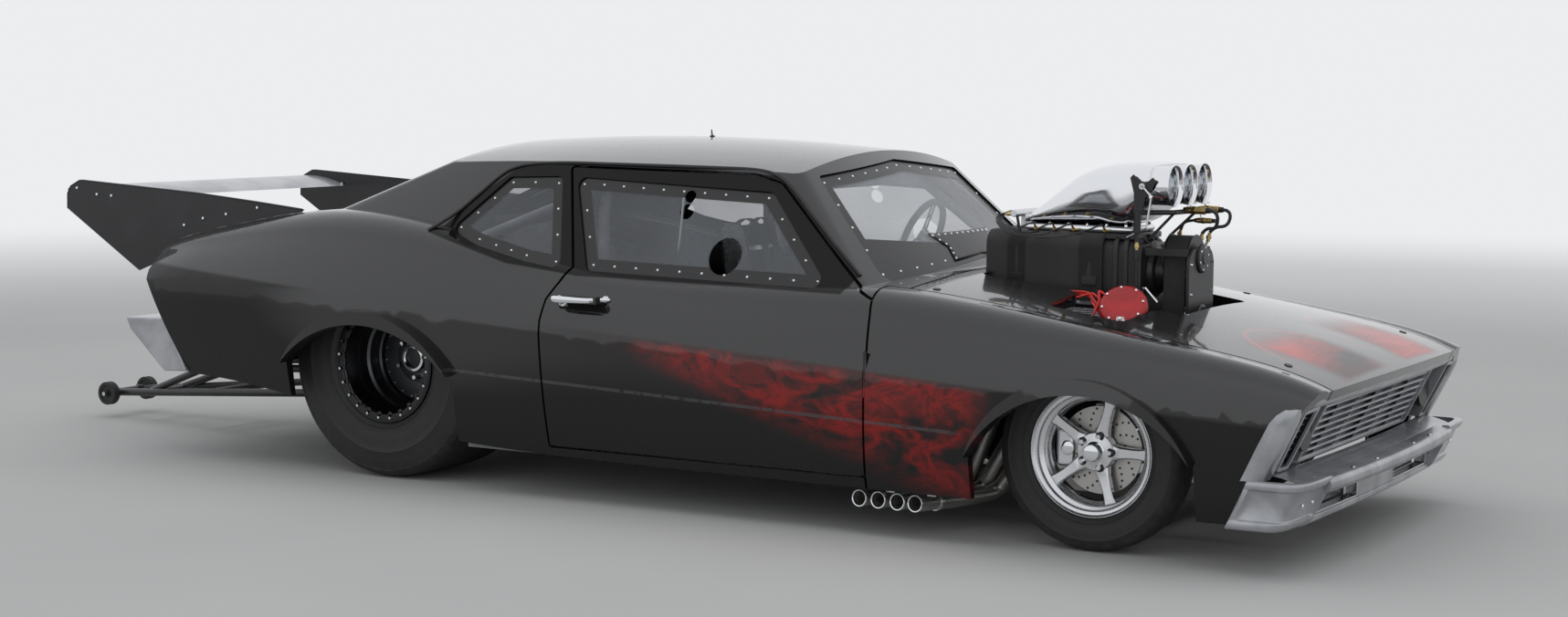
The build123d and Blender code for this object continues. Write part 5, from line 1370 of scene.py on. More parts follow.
def exhaust_tips():
    for name, side in SIDES:
        out = Vector((-0.02, side * 0.228, 0.018)).normalized()
        places = [stood(at(x, side * 0.868, 0.127), out) for x in (-0.75, -0.68, -0.61, -0.545)]
        lip = lathe(TIP_RING, axis="Z", count=56)
        solid(f"exhaust_tip_rings_{name}", CHROME, [moved(place, lip) for place in places], smooth=50)
        band = lathe(oblong(0.0268, 0.03, -0.135, -0.12), axis="Z", count=40)
        solid(f"exhaust_bands_{name}", MACHINED, [moved(place, band) for place in places], smooth=50)
        y = side * 0.838
        hangers = [box(at(x - 0.016, y - 0.003, 0.15), at(x + 0.016, y + 0.003, 0.172))
                   for x in (-0.65, -0.5)]
        solid(f"exhaust_hangers_{name}", BARE_STEEL, hangers, bevel=0.001)
        heads = [at(x, side * 0.8415, 0.166) for x in (-0.65, -0.5)]
        studs(f"exhaust_hanger_bolts_{name}", heads, (0, side, 0), 0.0085, 0.006)


injection_lines()
throttle_linkage()
fuel_valves()
rocker_covers()
exhaust_tips()


# Front end: header strip, grille frame, gills, bumper, and the plate at the screen's foot
def on_nose(y, z, back=0.0):
    """A place on the leaning nose, or behind it."""
    return at(0.772 - 0.03 * (y / 0.85) ** 2 - 0.5 * (0.548 - z) - back, y, z)


def nose_frame(name, finish, outline, width, front, back):
    """A frame that lies in the leaning nose: an outline in y and z with a border of one width."""
    shape = frame_shape(outline, set_in(outline, width), front, back, on_nose)
    solid(name, finish, [shape], bevel=0.0022, segments=3, smooth=40)


def rounded_corners(corners, radius):
    """A flat outline with its corners rounded."""
    made, n, count = [], len(corners), 5
    for i in range(n):
        before, here, after = Vector(corners[i - 1]), Vector(corners[i]), Vector(corners[(i + 1) % n])
        p = here + (before - here).normalized() * radius
        q = here + (after - here).normalized() * radius
        for t in (k / count for k in range(count + 1)):
            made.append(tuple(p * (1 - t) ** 2 + here * 2 * t * (1 - t) + q * t * t))
    return made


HEADER = [  # height, how far back
    (0.511, 0.012), (0.513, 0.004), (0.526, 0.001), (0.539, 0.003), (0.5405, 0.012), (0.5405, 0.03),
    (0.511, 0.03),
]
GILL_BORDER = [  # inner edge, outer edge, height, how far back
    (0.8, 0.886, 0.3, 0), (0.7925, 0.886, 0.317, 0), (0.8025, 0.887, 0.4, 0), (0.812, 0.887, 0.48, 0),
    (0.818, 0.882, 0.505, 0.004), (0.822, 0.868, 0.521, 0.01),
]
BLOCK_PATH = [  # ahead of the axle, out from the middle, how deep the flat face is let in
    (0.7655, 0.645, 0), (0.7655, 0.65, 0), (0.7655, 0.662, 0), (0.7655, 0.67, 0.9), (0.765, 0.7, 1),
    (0.764, 0.75, 1), (0.7615, 0.8, 1), (0.757, 0.835, 1), (0.748, 0.862, 1), (0.734, 0.879, 0.9),
    (0.715, 0.888, 1), (0.69, 0.8915, 1), (0.65, 0.8925, 1), (0.615, 0.8925, 1), (0.602, 0.8922, 0.9),
    (0.593, 0.892, 0), (0.582, 0.8915, 0), (0.578, 0.891, 0),
]
BLOCK_EDGE = [  # set back from the face, height, share of the let-in depth
    (0.03, 0.301, 0), (0.012, 0.3025, 0), (0.0045, 0.3005, 0), (0.001, 0.296, 0), (0, 0.29, 0), (0, 0.28, 0),
    (0.0015, 0.2765, 0.1), (0.0035, 0.2745, 0.7), (0.004, 0.271, 1), (0.004, 0.235, 1), (0.004, 0.185, 1),
    (0.0035, 0.181, 0.7), (0.0015, 0.1785, 0.1), (0, 0.175, 0), (0, 0.165, 0), (0.001, 0.158, 0),
    (0.0045, 0.1525, 0), (0.012, 0.1495, 0), (0.03, 0.15, 0),
]


def gill_border(name, side):
    """The bulging strip outside a gill, wrapped back at the corner."""
    border = []
    for y0, y1, z, back in GILL_BORDER:
        rise, middle, front = (y1 - y0) / 2, (y0 + y1) / 2, []
        for u in (math.cos(math.pi * k / 11) for k in range(12)):
            y = middle - rise * u
            wrap = 0.03 * max(0.0, (y - 0.862) / 0.024) ** 2
            front.append(on_nose(side * y, z, back + wrap - 0.01 * (1 - u ** 4) + 0.004))
        border.append(front + [v - Vector((0.026, 0, 0)) for v in reversed(front)])
    solid(f"gill_border_{name}", SILVER, [rings(border)], smooth=60)


def nose_parts():
    strip = [[on_nose(-0.782 + 1.564 * i / 48, z, d) for z, d in HEADER] for i in range(49)]
    solid("nose_header_strip", SILVER, [rings(strip)], smooth=50)
    grille = rounded_corners(oblong(-0.572, 0.572, 0.314, 0.5225), 0.014)
    nose_frame("grille_frame", SILVER, grille, 0.009, 0.02, 0.07)
    section = oblong(-0.003, 0.003, 0.046, 0.075)
    ribs = [rings([[on_nose(y, z, d) + Vector((0, w, 0)) for w, d in section] for z in (0.322, 0.515)])
            for y in (-0.38, -0.19, 0, 0.19, 0.38)]
    solid("grille_ribs", BLACK_METAL, ribs)
    for name, side in SIDES:
        corners = [(side * y, z) for y, z in ((0.69, 0.317), (0.781, 0.317), (0.801, 0.512), (0.69, 0.52))]
        nose_frame(f"gill_bezel_{name}", SILVER, rounded_corners(corners, 0.016), 0.0125, 0, 0.055)
        gill_border(name, side)
        inner = rounded_corners(set_in(corners, 0.012), 0.01)
        nose_frame(f"gill_inner_bezel_{name}", TRIM, inner, 0.007, 0.008, 0.06)
        bars, section = [], ((-0.003, 0.018), (0.003, 0.016), (0.0035, 0.055), (-0.0035, 0.055))
        for z in (0.34 + 0.02 * i for i in range(9)):
            ends = (0.708, 0.764 + 0.016 * (z - 0.32) / 0.19)
            bars.append(rings([[on_nose(side * y, z + dz, d) for dz, d in section] for y in ends]))
        more = dict(replaces=("nose_bezels",)) if side < 0 else {}
        solid(f"gill_bars_{name}", SILVER, bars, bevel=0.0008, slot="silver", **more)
        corners = ((0.695, 0.322), (0.776, 0.322), (0.794, 0.508), (0.695, 0.514))
        back = [[on_nose(side * y, z, 0.062) - Vector((d, 0, 0)) for y, z in corners] for d in (0, 0.006)]
        solid(f"gill_back_{name}", TRIM, [rings(back)])
        section = oblong(-0.003, 0.003, 0.022, 0.06)
        post = [[on_nose(side * 0.735, z, d) + Vector((0, side * w, 0)) for w, d in section]
                for z in (0.33, 0.505)]
        solid(f"gill_post_{name}", TRIM, [rings(post)])


def bumper_block(name, side):
    """One end of the front bumper: a rounded border about a flat let-in face, turned back at the corner."""
    loops = []
    for i, (x, y, depth) in enumerate(BLOCK_PATH):
        before, after = BLOCK_PATH[max(i - 1, 0)], BLOCK_PATH[min(i + 1, len(BLOCK_PATH) - 1)]
        ahead = Vector((after[0] - before[0], after[1] - before[1])).normalized()
        loop = []
        for back, z, share in BLOCK_EDGE:
            back += share * (0.0085 * depth - 0.004 * (1 - depth))
            lean = -0.46 * (0.302 - z) + 0.9 * (0.302 - z) * (z - 0.15)
            loop.append(at(x - ahead.y * back + lean, side * (y + ahead.x * back), z))
        loops.append(loop)
    more = dict(replaces=("front_bumper",)) if side < 0 else {}
    solid(f"bumper_block_{name}", SILVER, [rings(loops)], smooth=55, slot="silver", **more)


def bowed(y, half, reach, sweep):
    """How far ahead a bar stands that is bowed forward in the middle."""
    return reach - sweep * (y / half) ** 2


def curved_bar(name, finish, half, reach, sweep, section, **more):
    """A bowed bar across the car, of one section in depth and height."""
    loops = []
    for y in (-half + 2 * half * i / 48 for i in range(49)):
        loops.append([at(bowed(y, half, reach, sweep) - d, y, z) for d, z in section])
    solid(name, finish, [rings(loops)], **more)


def front_bumper():
    for name, side in SIDES:
        bumper_block(name, side)
    bar = [(0.042 - 0.042 * signed(c, 0.62), 0.2715 + 0.0255 * signed(s, 0.62)) for c, s in circle(1, 28)]
    curved_bar("bumper_bar", SILVER, 0.662, 0.7885, 0.024, bar, smooth=60, slot="silver")
    groove = [(0, 0.264), (0.0028, 0.2625), (0.0028, 0.2605), (0, 0.259), (-0.0008, 0.26), (-0.0008, 0.263)]
    curved_bar("bumper_bar_line", TRIM, 0.655, 0.787, 0.0236, groove)
    for label, low, high, lip in (("upper", 0.2265, 0.248, 0.004), ("lower", 0.142, 0.168, 0.006)):
        section = [(0, low + lip), (0, high - lip), (lip, high), (0.04, high), (0.04, low), (lip, low)]
        curved_bar(f"valance_{label}", SILVER, 0.688, 0.7, 0.014, section, bevel=0.0012, smooth=40)

    def on_valance(y, z, back):
        return at(bowed(y, 0.688, 0.6985, 0.014) - back, y, z)

    posts, section = [], ((0, 0.166), (0, 0.229), (0.036, 0.229), (0.036, 0.166))
    for y0, y1 in ((-0.688, -0.6), (-0.19, 0.19), (0.6, 0.688)):
        across = [y0 + (y1 - y0) * i / 16 for i in range(17)]
        posts.append(rings([[on_valance(y, z, d) for d, z in section] for y in across]))
    solid("valance_posts", SILVER, posts, bevel=0.001)
    for name, side in SIDES:
        edge = oblong(side * 0.192, side * 0.598, 0.1685, 0.226)
        outer = rounded_corners(edge, 0.01)
        slot_rim = frame_shape(outer, set_in(outer, 0.0045), -0.0015, 0.034, on_valance)
        solid(f"valance_slot_{name}", CHROME, [slot_rim], smooth=40)
        wall = [[on_valance(y, z, d) for y, z in edge] for d in (0.0435, 0.0475)]
        solid(f"valance_slot_back_{name}", TRIM, [rings(wall)])
        near, far = sorted((side * 0.293, side * 0.347))
        leg = [box(at(0.567, near, 0.185), at(0.646, far, 0.245)),
               box(at(0.64, near, 0.24), at(0.705, far, 0.285))]
        solid(f"bumper_bracket_{name}", BLACK_METAL, leg, bevel=0.003)
        bolts = [at(bowed(y, 0.66, 0.7635, 0.024), side * y, 0.2968) for y in (0.2, 0.42)]
        studs(f"bumper_bolts_{name}", bolts, (0, 0, 1), 0.009, 0.003, 0.6, 20)
        heads = [at(0.7235, side * y, 0.226) for y in (0.71, 0.8)]
        studs(f"bumper_block_bolts_{name}", heads, (1, 0, 0), 0.0075, 0.003, 0.6, 20)


def splash_pan():
    """The painted pan between the grille and the bumper bar."""
    loops = []
    for y in (-0.8 + 1.6 * i / 48 for i in range(49)):
        back, front = on_nose(y, 0.3135, 0.012).x - AXLE, bowed(y, 0.8, 0.745, 0.02)
        section = [(back + (front - back) * share, z) for share, z in (
            (0, 0.3135), (0.35, 0.3085), (0.75, 0.2965), (1, 0.286))]
        loops.append([at(x, y, z) for x, z in section] + [at(x, y, z - 0.004) for x, z in reversed(section)])
    solid("splash_pan", SILVER, [rings(loops)], smooth=60)


def screen_plate():
    """A thin plate over the foot of the windscreen, round the back of the blower."""
    surface, rows = packed_surface("windscreen"), []
    for t in (i / 12 for i in range(13)):
        half = 0.215 - 0.07 * t if t < 0.5 else 0.18 + 0.1 * (t - 0.5)
        across = [half * (k / 10 - 1) for k in range(21)]
        feet = [0.88 - 0.05 * abs(y) / 0.655 for y in across]
        rows.append([(y, foot + (0.954 - foot) * t) for y, foot in zip(across, feet)])
    found = zip(*landings(surface, [at(0.5, y, z) for row in rows for y, z in row], (-1, 0, 0)))
    sheet = [spot + out * 0.003 for spot, out in found], sheet_faces(13, 21)
    walled(solid("screen_plate", TRIM, [sheet], smooth=50), 0.002, 0.0)
    edge = [(row[k][0] * 0.95, row[k][1]) for row in rows[1:-1:2] for k in (0, -1)]
    edge += [(y * 0.93, z - 0.006) for y, z in rows[-1][::2]]
    spots, facing = landings(surface, [at(0.5, y, z) for y, z in edge], (-1, 0, 0))
    spots = [spot + out * 0.0038 for spot, out in zip(spots, facing)]
    studs("screen_plate_rivets", spots, facing, 0.0052, 0.0026, 0.45, 14)


nose_parts()
front_bumper()
splash_pan()
screen_plate()


# Inside: seat, belts, dials, steering wheel, shifter and pedals
SEAT_Y = 0.36
SEAT_SIDE = [  # ahead, up
    (-1.4, 0.184), (-1.352, 0.3), (-1.352, 0.372), (-1.385, 0.398), (-1.56, 0.396), (-1.69, 0.42),
    (-1.735, 0.5), (-1.752, 0.62), (-1.79, 0.76), (-1.822, 0.905), (-1.85, 0.936),
    (-1.915, 0.94), (-1.933, 0.922), (-1.85, 0.184),
]
SHOULDER_BELT = [
    (-1.96, 0.905), (-1.905, 0.948), (-1.858, 0.93), (-1.826, 0.86), (-1.792, 0.7), (-1.764, 0.56),
    (-1.745, 0.45), (-1.7, 0.395),
]
LAP_BELT = [(-1.8, 0.192, 0.3), (-1.77, 0.168, 0.42), (-1.72, 0.11, 0.42), (-1.68, 0.03, 0.396)]
BOTTLE = [
    (0, 0), (0.052, 0), (0.057, 0.006), (0.057, 0.3), (0.046, 0.33), (0.016, 0.345), (0.016, 0.362),
    (0, 0.362),
]
KNOB = [(0, 0), (0.012, 0.002), (0.019, 0.012), (0.021, 0.024), (0.017, 0.036), (0.008, 0.043), (0, 0.044)]
STEERING_HUB = [
    (0, -0.004), (0.026, -0.004), (0.03, 0), (0.031, 0.01), (0.026, 0.012), (0.026, 0.03), (0.029, 0.032),
    (0.029, 0.044), (0.022, 0.047), (0, 0.047),
]


def pad(name, centre, across, along, width, length, thick, crown, **more):
    """A stuffed pad: crowned on top, flat beneath, its sides pulled in between the corners."""
    across, along = Vector(across).normalized(), Vector(along).normalized()
    up, pull, grid = across.cross(along).normalized(), 0.035, 18
    steps, verts, n = [2 * i / grid - 1 for i in range(grid + 1)], [], grid + 1
    for top, u, v in ((top, u, v) for top in (True, False) for u in steps for v in steps):
        w = signed(u, 0.85) * width / 2 * (1 - pull * (1 - v * v))
        h = signed(v, 0.85) * length / 2 * (1 - pull * (1 - u * u))
        edge = (1 - abs(u) ** 6) * (1 - abs(v) ** 6)
        d = 0.1 * thick * (1 - edge)
        if top:
            d = thick * (0.45 + 0.55 * edge ** 0.5) + crown * (1 - u * u) * (1 - v * v)
            d -= 0.006 * max(0.0, 1 - abs((v * 2.5) % 1 - 0.5) / 0.09) * (1 - u ** 8) * edge
        verts.append(centre + across * w + along * h + up * d)
    sheet = sheet_faces(n, n)
    faces = sheet + [[i + n * n for i in face] for face in sheet]
    rim = list(range(grid)) + [i * n + grid for i in range(grid)]
    rim += [grid * n + k for k in range(grid, 0, -1)] + [i * n for i in range(grid, 0, -1)]
    faces += [[p, q, q + n * n, p + n * n] for p, q in zip(rim, rim[1:] + rim[:1])]
    made = solid(name, SEAT, [(verts, faces)], levels=1, smooth=60, slot="seat", **more)


def ribbon(name, points, sideways):
    """A flat belt along points, its width lying sideways."""
    loops, half = [], Vector(sideways).normalized() * 0.024
    line = [Vector(p) for p in smooth_stations([list(p) for p in points], 6)]
    for i, p in enumerate(line):
        before, after = line[max(i - 1, 0)], line[min(i + 1, len(line) - 1)]
        out = (after - before).cross(half).normalized() * 0.0009
        loops.append([p + half + out, p - half + out, p - half - out, p + half - out])
    solid(name, BELTS, [rings(loops)], smooth=50)


def seat():
    shells = [prism("Y", SEAT_Y + y, SEAT_Y + y + 0.003, SEAT_SIDE) for y in (-0.186, 0.183)]
    back = [(-1.79, 0.3), (-1.893, 0.925), (-1.897, 0.925), (-1.794, 0.3)]
    under = [(-1.38, 0.335), (-1.79, 0.288), (-1.79, 0.284), (-1.38, 0.331)]
    shells += [prism("Y", SEAT_Y - 0.185, SEAT_Y + 0.185, section) for section in (back, under)]
    solid("seat_shell", MACHINED, shells, bevel=0.0008, smooth=30)
    for i, side in enumerate((-1, 1)):
        edge = [at(x, SEAT_Y + side * 0.1845, z) for x, z in SEAT_SIDE + SEAT_SIDE[:1]]
        solid(f"seat_edge_{i + 1}", TRIM, [wire(edge, 0.0045, 8, 2)], smooth=50)
    over, recline = (0, 1, 0), (-0.103, 0, 0.625)
    pad("seat_base_pad", at(-1.575, SEAT_Y, 0.318), over, (-0.993, 0, -0.114), 0.34, 0.36, 0.042, 0.018,
        replaces=("driver_seat",))
    pad("seat_back_pad", at(-1.832, SEAT_Y, 0.58), over, recline, 0.3, 0.52, 0.034, 0.012)
    pad("seat_head_pad", at(-1.88, SEAT_Y, 0.884), over, recline, 0.22, 0.085, 0.034, 0.006)
    for i, side in enumerate((-1, 1)):
        pad(f"seat_side_pad_{i + 1}", at(-1.806, SEAT_Y + side * 0.158, 0.6), (side * 0.5, 1, 0), recline,
            0.07, 0.42, 0.04, 0.014)
        points = [at(x, SEAT_Y + side * 0.065 * (1 - 0.12 * k), z) for k, (x, z) in enumerate(SHOULDER_BELT)]
        ribbon(f"shoulder_belt_{i + 1}", points, over)
        points = [at(x, SEAT_Y + side * y, z) for x, y, z in LAP_BELT]
        ribbon(f"lap_belt_{i + 1}", points, (0.45, 0, 0.9))
    rods("belt_buckle", CHROME, [((-1.676, SEAT_Y, 0.394), (-1.662, SEAT_Y, 0.412), 0.028, 32)], 0.003)


def dials():
    x = -0.916
    for i, (y, z, r) in enumerate((
        (0.29, 0.8, 0.034), (0.365, 0.8, 0.034), (0.44, 0.8, 0.034), (0.52, 0.838, 0.048),
    )):
        bezel = [(r * 0.86, x), (r * 0.9, x - 0.006), (r * 0.98, x - 0.007), (r * 1.04, x - 0.003),
                 (r * 1.04, x + 0.012), (r * 0.86, x + 0.012)]
        spun(f"dial_bezel_{i + 1}", CHROME, bezel, at(0, y, z), smooth=50)
        spun(f"dial_face_{i + 1}", TRIM, oblong(0, r * 0.88, x - 0.001, x + 0.004), at(0, y, z), count=40)

        def hand(degrees, lift, near, far, *sizes):
            a, centre = math.radians(degrees), at(x - lift, y, z)
            out = Vector((0, -math.sin(a), math.cos(a))) * r
            return rod(centre + out * near, centre + out * far, *sizes)

        marks = [hand(-135 + 27 * k, 0.0015, 0.66, 0.82, 0.0007, 4) for k in range(11)]
        solid(f"dial_marks_{i + 1}", CAGE_PAINT, marks, smooth=0)
        centre = at(x - 0.002, y, z)
        needle = [hand(-110 + 24 * i, 0.002, -0.15, 0.7, 0.0011, 6, 0.0005),
                  rod(centre, centre - Vector((0.002, 0, 0)), r * 0.09, 16)]
        solid(f"dial_needle_{i + 1}", RED_LEAD, needle)
    rods("tachometer_can", BLACK_METAL, [((-0.905, 0.52, 0.838), (-0.85, 0.52, 0.838), 0.049, 40, 0.04),
                                         ((-0.88, 0.52, 0.8), (-0.88, 0.52, 0.775), 0.008, 16)], 0.002)
    across = [0.205 - 0.032 * k for k in range(6)]
    switches = [((-0.9, y, 0.752), (-0.918, y, 0.757), 0.0028, 10, 0.0036) for y in across]
    rods("dash_switches", CHROME, switches)
    studs("dash_switch_nuts", [at(-0.8985, y, 0.752) for y in across], (-1, 0, 0.1), 0.0075, 0.003, 0.85)


def steering_wheel():
    body, tilt = "steering_wheel_body", math.radians(22)
    axis = Vector((math.cos(tilt), 0, -math.sin(tilt)))
    place = stood(at(-1.165, 0.365, 0.905), axis)
    grip = []
    for a in (TURN * i / 96 for i in range(96)):
        for b in (TURN * k / 20 for k in range(20)):
            thick = 0.0128 + (0.0006 * math.cos(36 * a) if math.cos(b) < 0 else 0)
            r = 0.14 + thick * math.cos(b)
            grip.append((r * math.cos(a), r * math.sin(a), thick * math.sin(b)))
    solid("steering_grip", TRIM, [moved(place, (grip, tube_faces(96, 20)))], body, smooth=60,
          replaces=("steering_wheel",), slot="trim")
    arms = []
    for a in map(math.radians, (90, 210, 330)):
        out, over = Vector((math.cos(a), math.sin(a), 0)), Vector((-math.sin(a), math.cos(a), 0))

        def bar(stations):
            return moved(place, rings([
                [out * r + over * (middle + w) + Vector((0, 0, d))
                 for w, d in oblong(-half, half, -0.001, 0.003)]
                for r, middle, half in stations
            ]))

        lanes = ((0.024, 0.011, 0.008), (0.06, 0.0115, 0.005), (0.105, 0.012, 0.0045), (0.134, 0.0125, 0.007))
        arms += [bar([(r, lane * middle, half) for r, middle, half in lanes]) for lane in (-1, 1)]
        arms.append(bar([(0.078, 0, 0.014), (0.088, 0, 0.014)]))
    solid("steering_spokes", MACHINED, arms, body, bevel=0.0006)
    solid("steering_hub", MACHINED, [moved(place, lathe(STEERING_HUB, axis="Z", count=56))], body, smooth=30)
    spots = [place @ p for p in circle_spots(Vector((0, 0, -0.004)), 0.021, 6, "Z")]
    studs("steering_hub_bolts", spots, -axis, 0.0035, 0.003, 0.85, 6, CHROME, body)


def cabin_fittings():
    case = prism("Z", 0.185, 0.36, oblong(-1.42, -1.25, 0.06, 0.15))
    solid("shifter_box", BLACK_METAL, [case], bevel=0.008, segments=3)
    rods("shifter_lever", CHROME, [((-1.335, 0.105, 0.355), (-1.36, 0.105, 0.52), 0.006, 16)], 0.001)
    spun("shifter_knob", TRIM, KNOB, at(-1.3605, 0.105, 0.515), "Z", 32, smooth=60)
    for i, (y, low, half) in enumerate(((0.27, 0.3, 0.0225), (0.385, 0.29, 0.03))):
        plate = [(-0.8, low), (-0.786, low + 0.1), (-0.782, low + 0.1), (-0.796, low)]
        arm = rod(at(-0.788, y, low + 0.06), at(-0.735, y, low + 0.24), 0.007, 14)
        solid(f"pedal_{i + 1}", MACHINED, [prism("Y", y - half, y + half, plate), arm], bevel=0.0015)
    rods("net_rod", CHROME, [((-1.668, -0.548, 0.8), (-1.634, -0.548, 1.092), 0.0055, 16)], 0.001)
    foot = at(-2.12, -0.16, 0.24)
    spun("fire_bottle", RED, BOTTLE, foot, "Z")
    bands = [lathe(oblong(0.0575, 0.06, z, z + 0.018), foot, "Z", 48) for z in (0.07, 0.22)]
    solid("fire_bottle_bands", MACHINED, bands)


seat()
dials()
steering_wheel()
cabin_fittings()


# Springs, axle and rear end
def coil(start, end, radius, turns, thick):
    """A coil spring between two places."""
    turn, length, count = (end - start).to_track_quat("Z", "Y"), (end - start).length, int(turns * 20)
    loops = []
    for i in range(count + 1):
        a = TURN * turns * i / count
        out = Vector((math.cos(a), math.sin(a), 0))
        centre = out * radius + Vector((0, 0, length * i / count))
        round_wire = [(out * c + Vector((0, 0, s))) * thick for c, s in circle(1, 8)]
        loops.append([start + turn @ (centre + spot) for spot in round_wire])
    return rings(loops)


def springs_and_axle():
    for name, side in SIDES:
        low, high = at(0, side * 0.572, 0.458), at(0, side * 0.505, 0.645)
        start, end, ahead = low.lerp(high, 0.56), low.lerp(high, 0.94), (high - low).normalized()
        solid(f"front_spring_{name}", RED, [coil(start, end, 0.0315, 4.5, 0.0042)], smooth=60)
        seats = [rod(start, start + ahead * 0.005, 0.036, 32), rod(end, end + ahead * 0.006, 0.037, 32)]
        solid(f"front_spring_seats_{name}", MACHINED, seats, bevel=0.001)
        y = side * 0.29
        low, high = at(-2.945, y, 0.34), at(-2.915, y, 0.598)
        ahead, eye = (high - low).normalized(), Vector((0, 0.022, 0))
        shock = [rod(low, low + ahead * 0.125, 0.0215, 28), rod(low + ahead * 0.12, high, 0.0075, 16),
                 rod(low - eye, low + eye, 0.014, 24)]
        solid(f"rear_shock_{name}", MACHINED, shock, bevel=0.0015)
        start, end = low + ahead * 0.05, high - ahead * 0.014
        solid(f"rear_spring_{name}", RED, [coil(start, end, 0.0315, 7.5, 0.0046)], smooth=60)
        seats = [rod(start - ahead * 0.007, start, 0.0365, 32), rod(end, end + ahead * 0.008, 0.0365, 32)]
        solid(f"rear_spring_seats_{name}", TRIM, seats, bevel=0.001)
        plates = [box(at(-2.965, y + d, 0.325), at(-2.875, y + d + 0.006, 0.44)) for d in (-0.03, 0.024)]
        solid(f"rear_shock_bracket_{name}", BLACK_METAL, plates, bevel=0.001)
        ends, y = ((-2.78, 0.345), (-2.78, 0.47), (-2, 0.23)), side * 0.285
        bushes = [((x, y - 0.026, z), (x, y + 0.026, z), 0.018, 28) for x, z in ends]
        rods(f"link_ends_{name}", MACHINED, bushes, 0.0015)
        bolts = [at(x, side * 0.311, z) for x, z in ends]
        studs(f"link_bolts_{name}", bolts, (0, side, 0), 0.0105, 0.008, 0.85)
    cover = [(0, -2.975), (0.04, -2.972), (0.078, -2.955), (0.092, -2.935), (0.1, -2.925), (0.1, -2.915),
             (0, -2.915)]
    spun("axle_cover", MACHINED, cover, at(0, 0, 0.432), count=56, smooth=40)
    bolts = circle_spots(at(REAR - 0.124, 0, 0.432), 0.088, 10, "X", 0.1)
    studs("axle_cover_bolts", bolts, (-1, 0, 0), 0.006, 0.006, 0.85)


ROLLER = [
    (0.0492, -0.0165), (0.05, -0.015), (0.05, -0.005), (0.048, -0.0035), (0.048, 0.0035), (0.05, 0.005),
    (0.05, 0.015), (0.0492, 0.0165), (0.036, 0.0165), (0.034, 0.012), (0.016, 0.011), (0.016, 0.0165),
    (0.0105, 0.0165), (0.0105, -0.0165), (0.016, -0.0165), (0.016, -0.011), (0.034, -0.012), (0.036, -0.0165),
]


def on_tail(y, z, back):
    """A place on the car's tail, or behind it."""
    x = -3.722 - (z - 0.357) * 183 / 333 if z < 0.69 else -3.905 - (z - 0.69) * 25 / 45
    return at(x - back, y, z)


def rear_details():
    for name, side in SIDES:
        y = side * 0.07
        clevis = box(at(-4.905, y - 0.014, 0.09), at(-4.86, y + 0.014, 0.124))
        solid(f"wheelie_clevis_{name}", BLACK_METAL, [clevis], bevel=0.004)
        studs(f"wheelie_axle_nut_{name}", [at(-4.89, side * 0.138, 0.105)], (0, side, 0), 0.011, 0.01, 0.85)
        spun(f"wheelie_roller_tyre_{name}", IRON, ROLLER, at(-4.89, side * 0.115, 0.105), "Y", 64,
             body=f"wheelie_roller_{name}", replaces=(f"wheelie_wheel_{name}",), slot="rubber")
        lamp = rounded_corners(oblong(side * 0.412, side * 0.768, 0.592, 0.698), 0.012)
        rim = frame_shape(lamp, set_in(lamp, 0.008), 0.008, -0.006, on_tail)
        solid(f"tail_lamp_bezel_{name}", CHROME, [rim], smooth=40, bevel=0.0012)


springs_and_axle()
rear_details()


# Floor, backdrop and lights
BACKDROP = (0.84, 0.85, 0.87)
UNLIT = (0.0, 0.0, 0.0)
LIGHTS = (  # name, place, width and height, watts
    ("overhead", (0.0, -0.5, 7.5), (16.0, 12.0), 420.0),
    ("front_fill", (9.0, -7.5, 4.2), (7.0, 6.0), 90.0),
    ("side_fill", (-2.0, -12.0, 4.6), (20.0, 7.5), 260.0),
    ("back_rim", (-1.0, 10.0, 4.6), (16.0, 6.0), 160.0),
)


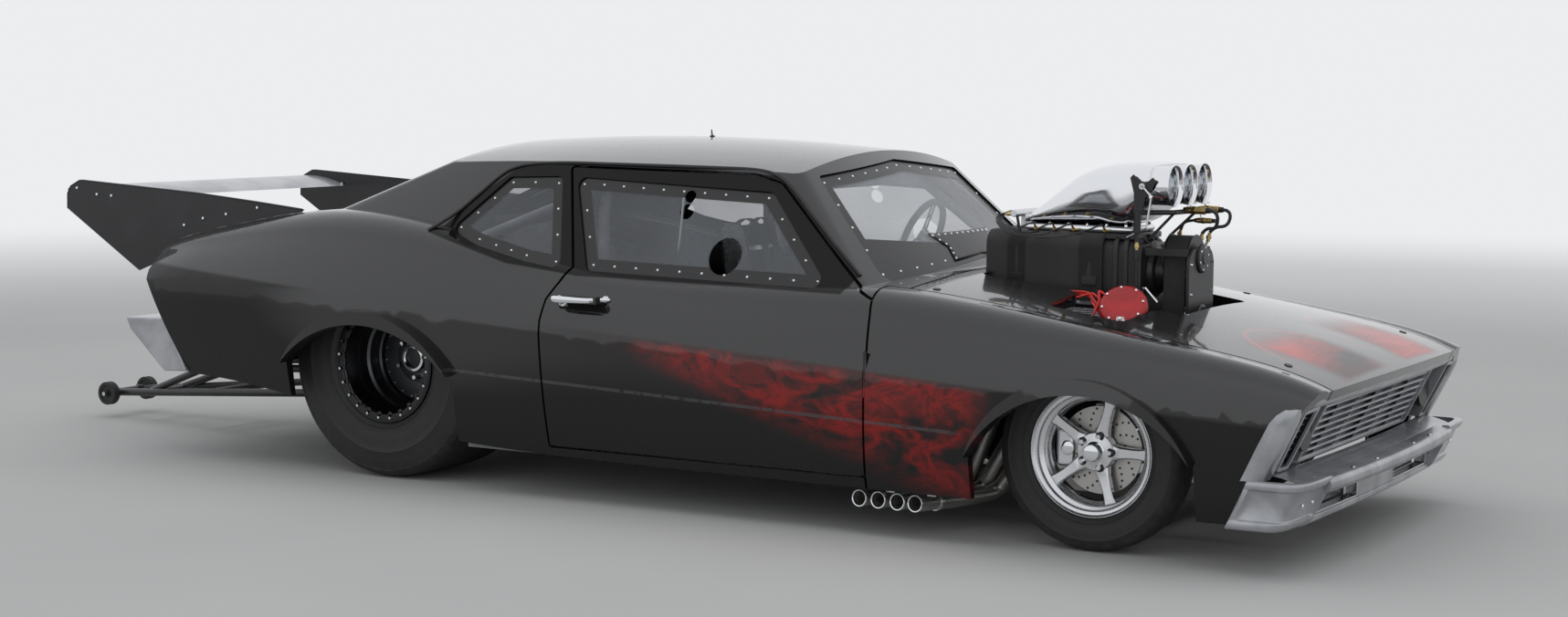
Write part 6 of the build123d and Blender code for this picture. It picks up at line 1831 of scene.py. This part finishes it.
def studio_floor():
    pale = Finish("pale_floor", (0.5, 0.5, 0.49), 0.85)
    x, y, _ = pale.axes()
    x = x - AXLE + 1.9
    light = pale.node("LightPath").outputs
    seen = Value(pale, light["Is Camera Ray"]).high(Value(pale, light["Is Glossy Ray"]))
    sweep = (x * x + y * y).power(0.5).fade(5.5, 17.0) * seen
    grain = pale.mix(pale.noise(0.7, 3.0), (0.48, 0.48, 0.475), (0.54, 0.54, 0.53))
    pale.set(Base_Color=pale.mix(sweep, grain, UNLIT), Specular_IOR_Level=0.0)
    pale.set(Emission_Color=pale.mix(sweep, UNLIT, BACKDROP), Emission_Strength=1.0)
    mesh = mesh_from("floor", [(-30, -30, 0), (30, -30, 0), (30, 30, 0), (-30, 30, 0)], [(0, 1, 2, 3)])
    mesh.materials.append(pale.material)
    floor = linked("floor", mesh)


def studio_lights():
    for name, place, (width, height), power in LIGHTS:
        data = bpy.data.lights.new(name, "AREA")
        data.shape, data.size, data.size_y, data.energy = "RECTANGLE", width, height, power
        lamp = linked(name, data)
        lamp.location, lamp.visible_glossy = place, False
        lamp.rotation_euler = (Vector((0, 0, 0.6)) - Vector(place)).to_track_quat("-Z", "Y").to_euler()


def studio_sky():
    """The backdrop's colour where the camera or glass sees it, and a softer grey light elsewhere."""
    world = bpy.data.worlds.new("sky")
    world.use_nodes = True
    tree, larger = world.node_tree, {"operation": "MAXIMUM"}
    seen = tree.nodes.new("ShaderNodeLightPath").outputs
    either = add_node(tree, "ShaderNodeMath", larger, {0: seen["Is Camera Ray"], 1: seen["Is Glossy Ray"]})
    through = add_node(tree, "ShaderNodeMath", larger, {0: either.outputs[0], 1: seen["Is Transmission Ray"]})
    colours = {0: through.outputs[0], 6: (*PALE_GREY, 1.0), 7: (*BACKDROP, 1.0)}
    tint = add_node(tree, "ShaderNodeMix", {"data_type": "RGBA"}, colours)
    sky = tree.nodes["Background"]
    tree.links.new(tint.outputs[2], sky.inputs["Color"])
    sky.inputs["Strength"].default_value = 1.0
    bpy.context.scene.world = world


studio_floor()
studio_lights()
studio_sky()
bpy.context.scene.view_settings.view_transform = "Standard"
bpy.context.view_layer.update()
